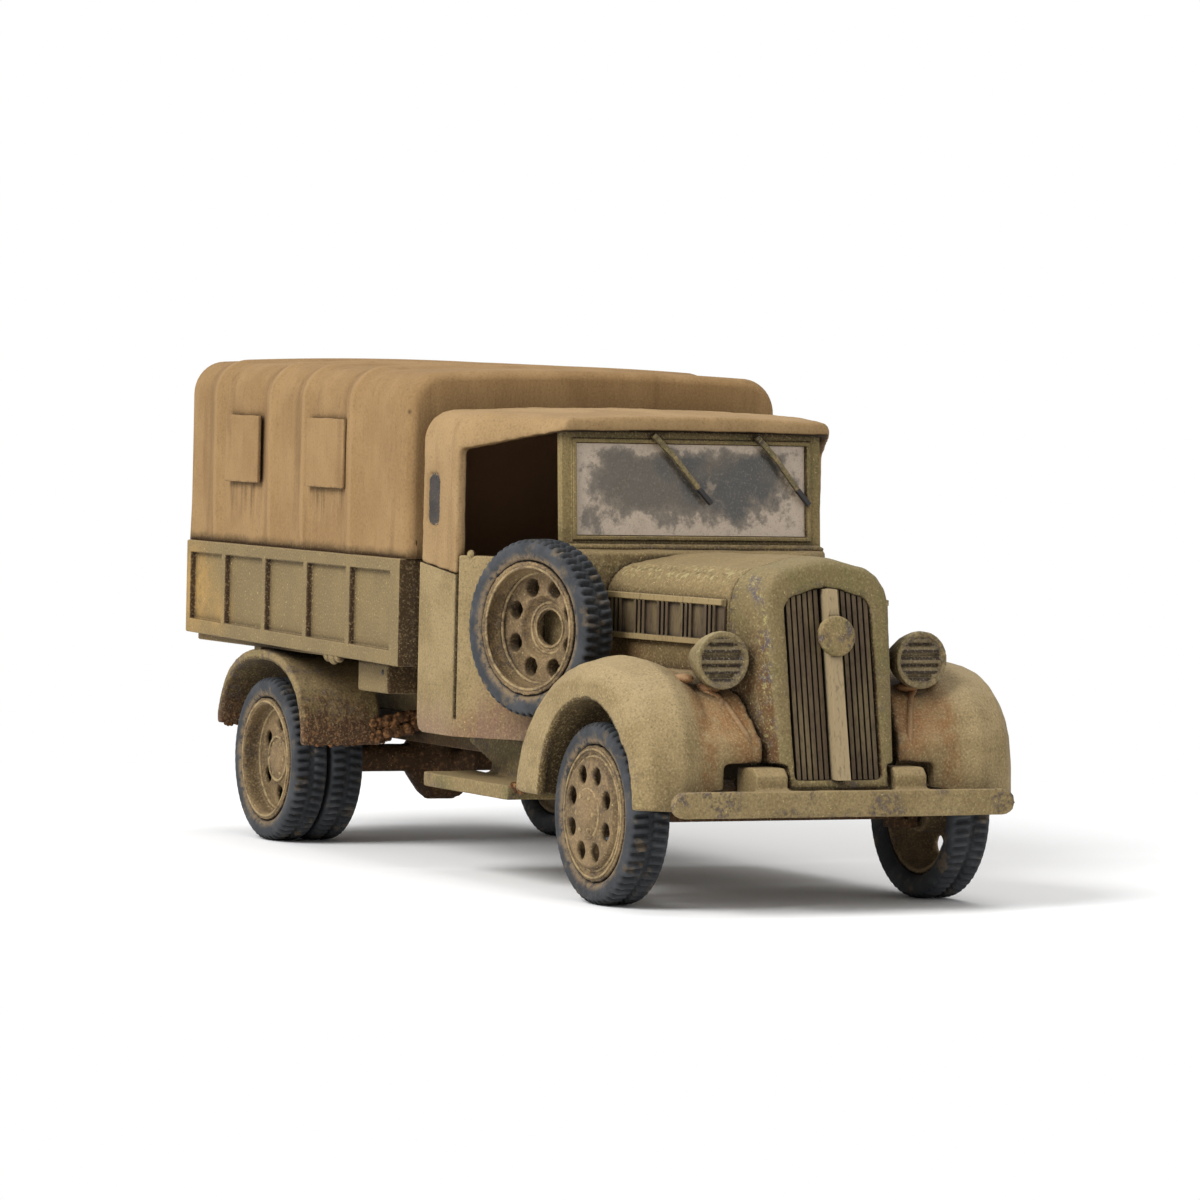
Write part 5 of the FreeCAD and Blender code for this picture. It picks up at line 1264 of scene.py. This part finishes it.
def flat_bar(bm, start, end, width, thick):
    """A flat bar between two points that lies on the windscreen; sizes in millimetres."""
    along = (end - start).normalized()
    across = along.cross(SCREEN_OUTWARD).normalized()
    corners = []
    for point in (start, end):
        for side_sign, out in ((-1, 0), (1, 0), (1, 1), (-1, 1)):
            offset = across * side_sign * width / 2 + SCREEN_OUTWARD * (out * thick - thick / 2)
            corners.append(bm.verts.new(point + offset * MM))
    for a, b, c, d in ((0, 1, 2, 3), (4, 5, 6, 7), (0, 1, 5, 4), (1, 2, 6, 5), (2, 3, 7, 6), (3, 0, 4, 7)):
        bm.faces.new((corners[a], corners[b], corners[c], corners[d]))


def small_bevel(piece, width):
    """Rounds the edges of a new piece a little; the width is in millimetres."""
    bevel = piece.modifiers.new("bevel", "BEVEL")
    bevel.width = width * MM
    bevel.segments = 2


# %% [markdown]
# The arm is two bars that meet at a knee, and the blade is a third bar with a paint of its own.

# %% Wipers
WIPER_WIDTH = 0.5
WIPER_KNEE = 0.33
KNEE_BEND = Vector((0, 0.12, 0.12)) * MM
BLADE_SHARE = 0.78
arms = bmesh.new()
blades = bmesh.new()
wiper_ends = island_ends("wipers")
for top, tip in wiper_ends:
    knee = top.lerp(tip, WIPER_KNEE) + KNEE_BEND
    neck = top.lerp(tip, BLADE_SHARE)
    flat_bar(arms, top, knee, WIPER_WIDTH, 0.45)
    flat_bar(arms, knee, neck, WIPER_WIDTH * 0.92, 0.42)
    flat_bar(blades, neck, tip, WIPER_WIDTH * 0.9, 0.5)
wiper_paint = body_paint("wiper_paint", colour(104, 94, 66), colour(92, 84, 60))
wiper_arms = mesh_piece("wiper_arms", arms, wiper_paint, "truck", smooth=False)
wiper_blades = mesh_piece("wiper_blades", blades, blade_black, "truck", smooth=False)
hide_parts("wipers")
for piece in (wiper_arms, wiper_blades):
    small_bevel(piece, 0.06)
print("wipers:", len(wiper_ends))

# %% [markdown]
# ## Small cast details
#
# On a casting this small, a catch or a nut is a raised lump, and a seam is a bead. They could be sculpted
# on, but each one here is a little mesh of its own. Most are dropped onto the frame's surface by a straight
# line, and the rest are placed from the frame's boxes, so each sits where the frame puts it. Left and right
# are made by the same loop.

# %% Tools for small details
SIDES = (("left", 1), ("right", -1))
ABOVE = 60
ASIDE = 40
DOWN = (0, 0, -1)
TUBE_SIDES = 10
RING_SIDES = 8
RING_STEPS = 96


def land(name, start, way):
    """Where a straight line from a start, in millimetres, first meets a piece of the frame."""
    mesh = nodes[name].data
    tree = BVHTree.FromPolygons([v.co for v in mesh.vertices], [p.vertices for p in mesh.polygons])
    place = tree.ray_cast(Vector(start) * MM, Vector(way))[0]
    return place / MM


def add_tube(bm, points, radius):
    """A round bead through points in millimetres, thin at both ends."""
    rows = []
    turns = [2 * math.pi * k / TUBE_SIDES for k in range(TUBE_SIDES)]
    for index, point in enumerate(points):
        along = (points[min(index + 1, len(points) - 1)] - points[max(index - 1, 0)]).normalized()
        across = along.cross(Vector((0, 0, 1))).normalized()
        over = across.cross(along)
        slim = radius * (0.35 if index in (0, len(points) - 1) else 1.0)
        rows.append([bm.verts.new((point + (across * math.cos(a) + over * math.sin(a)) * slim) * MM)
                     for a in turns])
    for near, far in zip(rows, rows[1:]):
        join_rows(bm, near, far)
    bm.faces.new(rows[0])
    bm.faces.new(rows[-1][::-1])


def add_lump(bm, centre, size, sides=12):
    """A rounded lump; its centre and its three half sizes are in millimetres."""
    shape = Matrix.Translation(Vector(centre) * MM) @ Matrix.Diagonal((*[v * MM for v in size], 1.0))
    bmesh.ops.create_uvsphere(bm, u_segments=sides, v_segments=sides // 2 + 2, radius=1.0, matrix=shape)


def round_axle(radius, angle, out=0.0):
    """A point at an angle from the top of an axle, in millimetres; out is how far it lies along the axle."""
    return Vector((radius * math.sin(angle), out, radius * math.cos(angle)))


def add_ring(bm, centre, turn, radius, thick):
    """A ring round a wheel's axle; sizes in millimetres, turn a 3 by 3 matrix."""
    rows = []
    for step in range(RING_STEPS):
        angle = 2 * math.pi * step / RING_STEPS
        row = []
        for k in range(RING_SIDES):
            spin = 2 * math.pi * k / RING_SIDES
            point = round_axle(radius + thick * math.cos(spin), angle, thick * math.sin(spin))
            row.append(bm.verts.new(((turn @ point) + Vector(centre)) * MM))
        rows.append(row)
    for near, far in zip(rows, rows[1:] + rows[:1]):
        join_rows(bm, near, far)


def detail(name, bm, material, slot, body_name="truck", smooth=True):
    piece = mesh_piece(name, bm, material, body_name, smooth)
    return piece


# %% [markdown]
# A rolled bead runs down the catwalk between each fender and the nose, and the headlamp's foot stands on a
# flat lump. A thin apron lies under the windscreen, and a dropside catch hangs below each bed side.

# %% Beads, lamp feet, apron and catches
BEAD_PATH = ((44.4, 10.9), (45.2, 10.3), (45.9, 9.65), (46.6, 9.15), (47.3, 8.75), (48.0, 8.4), (48.6, 8.1),
             (49.1, 7.9))
BEAD_R = 0.3
FOOT_PLACE = (44.2, 12.2)
for side, sign in SIDES:
    bm = bmesh.new()
    path = [land("front_fender_" + side, (x, y * sign, ABOVE), DOWN) for x, y in BEAD_PATH]
    add_tube(bm, [point - Vector((0.05, 0, 0.05)) for point in path], BEAD_R)
    foot = land("front_fender_" + side, (FOOT_PLACE[0], FOOT_PLACE[1] * sign, ABOVE), DOWN)
    add_lump(bm, foot, (1.3, 0.9, 0.45))
    lamp_low, lamp_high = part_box("headlamp_" + side)
    stalk = Vector(((lamp_low.x + lamp_high.x) / 2 / MM - 0.2, (lamp_low.y + lamp_high.y) / 2 / MM, ABOVE))
    foot = land("front_fender_" + side, stalk, DOWN)
    add_lump(bm, foot, (1.2, 1.1, 0.5))
    detail("catwalk_bead_" + side, bm, bead_paint, "body_paint")

screen_low, screen_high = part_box("windscreen_frame")
bm = bmesh.new()
apron_y = [screen_high.y / MM * share for share in (-1.0, -0.96, -0.5, 0.0, 0.5, 0.96, 1.0)]
add_tube(bm, [Vector((screen_high.x / MM + 0.25, y, screen_low.z / MM + 0.12)) for y in apron_y], 0.38)
detail("windscreen_apron", bm, bonnet_paint, "body_paint")

side_low, side_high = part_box("bed_side_left")
CATCH_X = -15.0
for side, sign in SIDES:
    bm = bmesh.new()
    for shift, size in ((-1.2, 0.75), (0.0, 1.0), (1.3, 0.7)):
        add_lump(bm, (CATCH_X + shift, (side_high.y / MM - 0.55) * sign, side_low.z / MM + 0.2),
                 (0.95 * size, 0.5, 0.85 * size))
    detail("dropside_catch_" + side, bm, bed_paint, "body_paint")
print("beads, feet, apron and catches made")

# %% [markdown]
# A small opaque window sits in a recess of the cab canvas on each side. It is a rounded plate, laid on the
# canvas and bevelled.

# %% Quarter windows
WINDOW_MIDDLE = (5.925, 34.55)
WINDOW_HALF = (1.32, 2.45)
WINDOW_ROUND = 0.85
WINDOW_THICK = 0.3


def window_paint():
    layers = Layers("window_paint")
    fine = layers.grain(0.25, 5.0, roughness=0.7)
    layers.coat(colour(50, 45, 42))
    layers.coat(colour(36, 33, 32), layers.patchy(0.45, 0.6, 1.4, 4.0))
    layers.coat(colour(120, 100, 74), layers.step(fine, 0.6, 0.7), 0.5)
    layers.coat(colour(150, 124, 88), layers.both(layers.edge(0.35, 0.7, 0.4), layers.step(fine, 0.45, 0.6)))
    layers.raise_by(0.04, fine)
    return layers.finish(layers.step(fine, -0.4, 1.1), 0.35)


def rounded_outline(middle, half, corner):
    """Points of a rounded rectangle, anticlockwise, as pairs of millimetres."""
    steps = 6
    points = []
    for quarter, (across, up) in enumerate(((1, 1), (-1, 1), (-1, -1), (1, -1))):
        for step in range(steps + 1):
            angle = math.pi / 2 * (quarter + step / steps)
            points.append((middle[0] + across * (half[0] - corner) + corner * math.cos(angle),
                           middle[1] + up * (half[1] - corner) + corner * math.sin(angle)))
    return points


window_dark = window_paint()
for side, sign in SIDES:
    depth = land("cab_canvas_top", (WINDOW_MIDDLE[0], ASIDE * sign, WINDOW_MIDDLE[1]), (0, -sign, 0)).y
    outline = rounded_outline(WINDOW_MIDDLE, WINDOW_HALF, WINDOW_ROUND)
    bm = bmesh.new()
    back = [bm.verts.new(Vector((x, depth - 0.1 * sign, z)) * MM) for x, z in outline]
    front = [bm.verts.new(Vector((x, depth + (WINDOW_THICK - 0.1) * sign, z)) * MM) for x, z in outline]
    join_rows(bm, back, front)
    bm.faces.new(front)
    bm.faces.new(back[::-1])
    piece = detail("quarter_window_" + side, bm, window_dark, "pane_paint", smooth=False)
    small_bevel(piece, 0.1)
print("quarter windows made")

# %% [markdown]
# A little knob stands on the sill of each cab side, and a dark drain plug marks each toolbox.

# %% Sill knobs and toolbox plugs
KNOB_PLACE = (12.6, 17.9)
PLUG_PLACE = (-7.7, 17.8)
for side, sign in SIDES:
    bm = bmesh.new()
    knob = land("cab_side_" + side, (KNOB_PLACE[0], KNOB_PLACE[1] * sign, ABOVE), DOWN)
    add_lump(bm, knob + Vector((0, 0, 0.1)), (0.45, 0.4, 0.42))
    detail("sill_knob_" + side, bm, cab_paint, "body_paint")
    bm = bmesh.new()
    plug = land("toolboxes", (PLUG_PLACE[0], ASIDE * sign, PLUG_PLACE[1]), (0, -sign, 0))
    add_lump(bm, plug, (0.26, 0.12, 0.26))
    detail("toolbox_plug_" + side, bm, blade_black, "chassis_paint")
print("knobs and plugs made")

# %% [markdown]
# ## Wheel rings and nuts
#
# The pressed wheels have a lock ring inside the rim, a collar at the hub and a ring of nuts. The frame's
# discs are plain there. Rings and domes are laid on the disc's surface, found by a line along the axle,
# and each set rides on its own wheel's body so that it turns with it.

# %% Wheel rings and nuts
# each ring's radius and how thick it is
WHEEL_RINGS = ((5.0, 0.16), (5.62, 0.12), (2.15, 0.15))
SPARE_RINGS = ((5.5, 0.13), (5.0, 0.15), (2.3, 0.16), (1.75, 0.12))
# angles from the top at which the disc is measured, between two of its holes
BETWEEN_HOLES = math.radians(22.5)
SPARE_BETWEEN = 0.4
NUT_CIRCLE_R = 1.6
NUT_COUNT = 6
NUT_SIZE = (0.27, 0.22, 0.27)


def wheel_rings(name, sign, body_name):
    middle = node_middle(name) / MM
    bm = bmesh.new()
    for radius, thick in WHEEL_RINGS:
        start = middle + round_axle(radius, BETWEEN_HOLES, ASIDE * sign)
        seat = land(name, start, (0, -sign, 0)).y
        add_ring(bm, (middle.x, seat, middle.z), STRAIGHT, radius, thick)
    for k in range(NUT_COUNT):
        angle = 2 * math.pi * (k + 0.5) / NUT_COUNT
        place = middle + round_axle(NUT_CIRCLE_R, angle, ASIDE * sign)
        add_lump(bm, land(name, place, (0, -sign, 0)), NUT_SIZE, sides=8)
    detail(name + "_rings", bm, wheel_paint, "wheel_paint", body_name)


for side, sign in SIDES:
    wheel_rings("front_wheel_" + side, sign, f"front_wheel_{side}_body")
    wheel_rings("rear_wheel_" + side, sign, f"rear_wheels_{side}_body")

spare_middle = node_middle("spare_wheel") / MM
spare_out = Vector((spare_facing.x, spare_facing.y, 0))
bm = bmesh.new()
for radius, thick in SPARE_RINGS:
    start = spare_middle + spare_turn @ round_axle(radius, SPARE_BETWEEN)
    seat = land("spare_wheel", start + spare_out * ASIDE, -spare_out)
    along = (seat - spare_middle).dot(spare_out)
    add_ring(bm, spare_middle + spare_out * along, spare_turn, radius, thick)
detail("spare_wheel_rings", bm, wheel_paint, "wheel_paint")
print("wheel rings made")

# %% [markdown]
# ## Mud crust
#
# A modeller dabs thick, gritty paste along the feet of the fenders. A displaced surface would stretch, so
# the crust is a scatter of small lumps along a line, whose sizes and places follow a noise.

# %% Mud crust
CRUST_LUMPS = 46
CRUST_SIZE = 0.32
TAIL_CRUST_Y = (18.9, 13.0)
# start, end, seed and size of each row, from the lower front corner of the rear fender
REAR_CRUST = (
    ((0.0, 18.9, 0.0), (0.0, 10.4, 0.3), 1, CRUST_SIZE),
    ((-0.3, 12.5, 0.4), (1.6, 8.0, 1.9), 2, 0.6),
    ((-0.2, 12.0, 1.7), (1.4, 7.8, 2.9), 5, 0.65),
)
# both ends of the row at the front fender, from its rear foot
FRONT_CRUST = ((0.6, 18.4, 0.3), (3.4, 18.5, 0.2))


def add_crust(bm, start, end, seed, size):
    """Small lumps along a line between two points in millimetres."""
    for k in range(CRUST_LUMPS):
        share = (k + 0.5) / CRUST_LUMPS
        pull = Vector((share * 37.0, seed * 5.3, 0.7))
        point = Vector(start).lerp(Vector(end), share)
        stray_x, stray_y, stray_z = (noise.noise(pull * scale) for scale in (1.0, 1.7, 2.3))
        point += Vector((stray_x * 0.35, stray_y * 0.35, stray_z * 0.5))
        big = size * (0.7 + 0.9 * abs(noise.noise(pull * 3.1)))
        add_lump(bm, point, (big, big * 0.9, big * 0.8), sides=6)


def mud_paint():
    layers = Layers("mud_paint")
    fine = layers.grain(0.25, 5.0, roughness=0.7)
    layers.coat(MUD)
    layers.coat(MUD_LIGHT, layers.patchy(0.45, 0.66, 0.5, 4.0, shift=3.0))
    layers.coat(colour(176, 142, 98), layers.step(fine, 0.6, 0.75), 0.5)
    layers.coat(colour(40, 27, 17), layers.step(fine, 0.45, 0.25), 0.6)
    layers.raise_by(0.1, fine)
    return layers.finish(layers.step(fine, -1.2, 1.0), 0.2)


mud_crust_paint = mud_paint()
for side, sign in SIDES:
    low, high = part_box("rear_fender_" + side)
    foot_z, front_x = low.z / MM + 0.15, high.x / MM - 0.35
    bm = bmesh.new()
    for start, end, seed, size in REAR_CRUST:
        ends = [(front_x + x, y * sign, foot_z + z) for x, y, z in (start, end)]
        add_crust(bm, *ends, seed, size)
    tail = [land("rear_fender_" + side, (low.x / MM + 0.5, y * sign, 0), (0, 0, 1)) for y in TAIL_CRUST_Y]
    add_crust(bm, *tail, 3, CRUST_SIZE)
    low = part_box("front_fender_" + side)[0] / MM
    ends = [(low.x + x, y * sign, low.z + z) for x, y, z in FRONT_CRUST]
    add_crust(bm, *ends, 4, CRUST_SIZE)
    detail("mud_crust_" + side, bm, mud_crust_paint, "chassis_paint")
print("mud crust made")

# %% [markdown]
# ## Light, floor and background
#
# The photograph is a cut-out on white, lit softly from above and from the camera's side. Large area lamps
# give that light. The floor is a pale sheet that keeps the truck's shadow near it and turns to plain
# white further out, so that no horizon shows.

# %% Lamps and sky
CENTRE = (0.0, 0.0, 0.02)
WHITE = (1, 1, 1, 1)
SKY_LIGHT = 0.52


def add_lamp(name, place, target, size, power):
    data = bpy.data.lights.new(name, "AREA")
    data.shape = "DISK"
    data.size = size
    data.energy = power
    lamp = bpy.data.objects.new(name, data)
    lamp.location = place
    lamp.rotation_euler = (Vector(target) - Vector(place)).to_track_quat("-Z", "Y").to_euler()
    bpy.context.scene.collection.objects.link(lamp)


add_lamp("key", (0.14, -0.48, 0.42), CENTRE, 0.35, 3.8)
add_lamp("top", (-0.1, 0.1, 0.7), CENTRE, 0.5, 1.9)
add_lamp("front_fill", (0.6, 0.2, 0.2), CENTRE, 0.4, 0.35)


def seen_directly(graph):
    """1 for what the camera sees, straight or by way of metal or glass, and 0 for light that bounces."""
    path = graph.add("ShaderNodeLightPath")
    mirrored = graph.calc("MAXIMUM", path.outputs["Is Glossy Ray"], path.outputs["Is Transmission Ray"])
    return graph.calc("MAXIMUM", path.outputs["Is Camera Ray"], mirrored)


def white_sky():
    world = bpy.data.worlds.new("white_sky")
    bpy.context.scene.world = world
    world.use_nodes = True
    graph = Nodes(world.node_tree)
    background = graph.tree.nodes["Background"]
    background.inputs["Color"].default_value = WHITE
    strength = graph.add("ShaderNodeMapRange")
    strength.inputs["To Min"].default_value = SKY_LIGHT
    graph.link(seen_directly(graph), strength.inputs["Value"])
    graph.link(strength.outputs[0], background.inputs["Strength"])


white_sky()

# %% [markdown]
# The floor is matte near the truck, where the shadow lies. Further out it glows white, but only in what the
# camera sees, straight or mirrored, so it doesn't light the truck.

# %% Floor
FADE_START = 0.055
FADE_END = 0.14
FLOOR_R = 6.0


def floor_material():
    material = bpy.data.materials.new("pale_floor")
    material.use_nodes = True
    graph = Nodes(material.node_tree)
    graph.tree.nodes.clear()
    matte = graph.add("ShaderNodeBsdfDiffuse")
    matte.inputs["Color"].default_value = (0.94, 0.94, 0.94, 1)
    plain = graph.add("ShaderNodeEmission")
    plain.inputs["Color"].default_value = WHITE
    coordinates = graph.add("ShaderNodeTexCoord")
    away = graph.add("ShaderNodeVectorMath", operation="LENGTH")
    graph.link(coordinates.outputs["Object"], away.inputs[0])
    fade = graph.step(away.outputs["Value"], FADE_START, FADE_END)
    mix = graph.add("ShaderNodeMixShader")
    graph.link(graph.calc("MULTIPLY", fade, seen_directly(graph)), mix.inputs[0])
    graph.link(matte.outputs[0], mix.inputs[1])
    graph.link(plain.outputs[0], mix.inputs[2])
    graph.link(mix.outputs[0], graph.add("ShaderNodeOutputMaterial").inputs["Surface"])
    return material


def add_floor():
    bm = bmesh.new()
    bmesh.ops.create_circle(bm, cap_ends=True, segments=96, radius=FLOOR_R)
    data = bpy.data.meshes.new("floor")
    bm.to_mesh(data)
    bm.free()
    data.materials.append(floor_material())
    floor = bpy.data.objects.new("floor", data)
    bpy.context.scene.collection.objects.link(floor)


add_floor()
bpy.context.scene.view_settings.view_transform = "Standard"
print("lamps:", len(bpy.data.lights))

# %% [markdown]
# ## The end
#
# The scene is brought up to date. The looks mustn't outgrow the frame.

# %% Update the scene
bpy.context.view_layer.update()
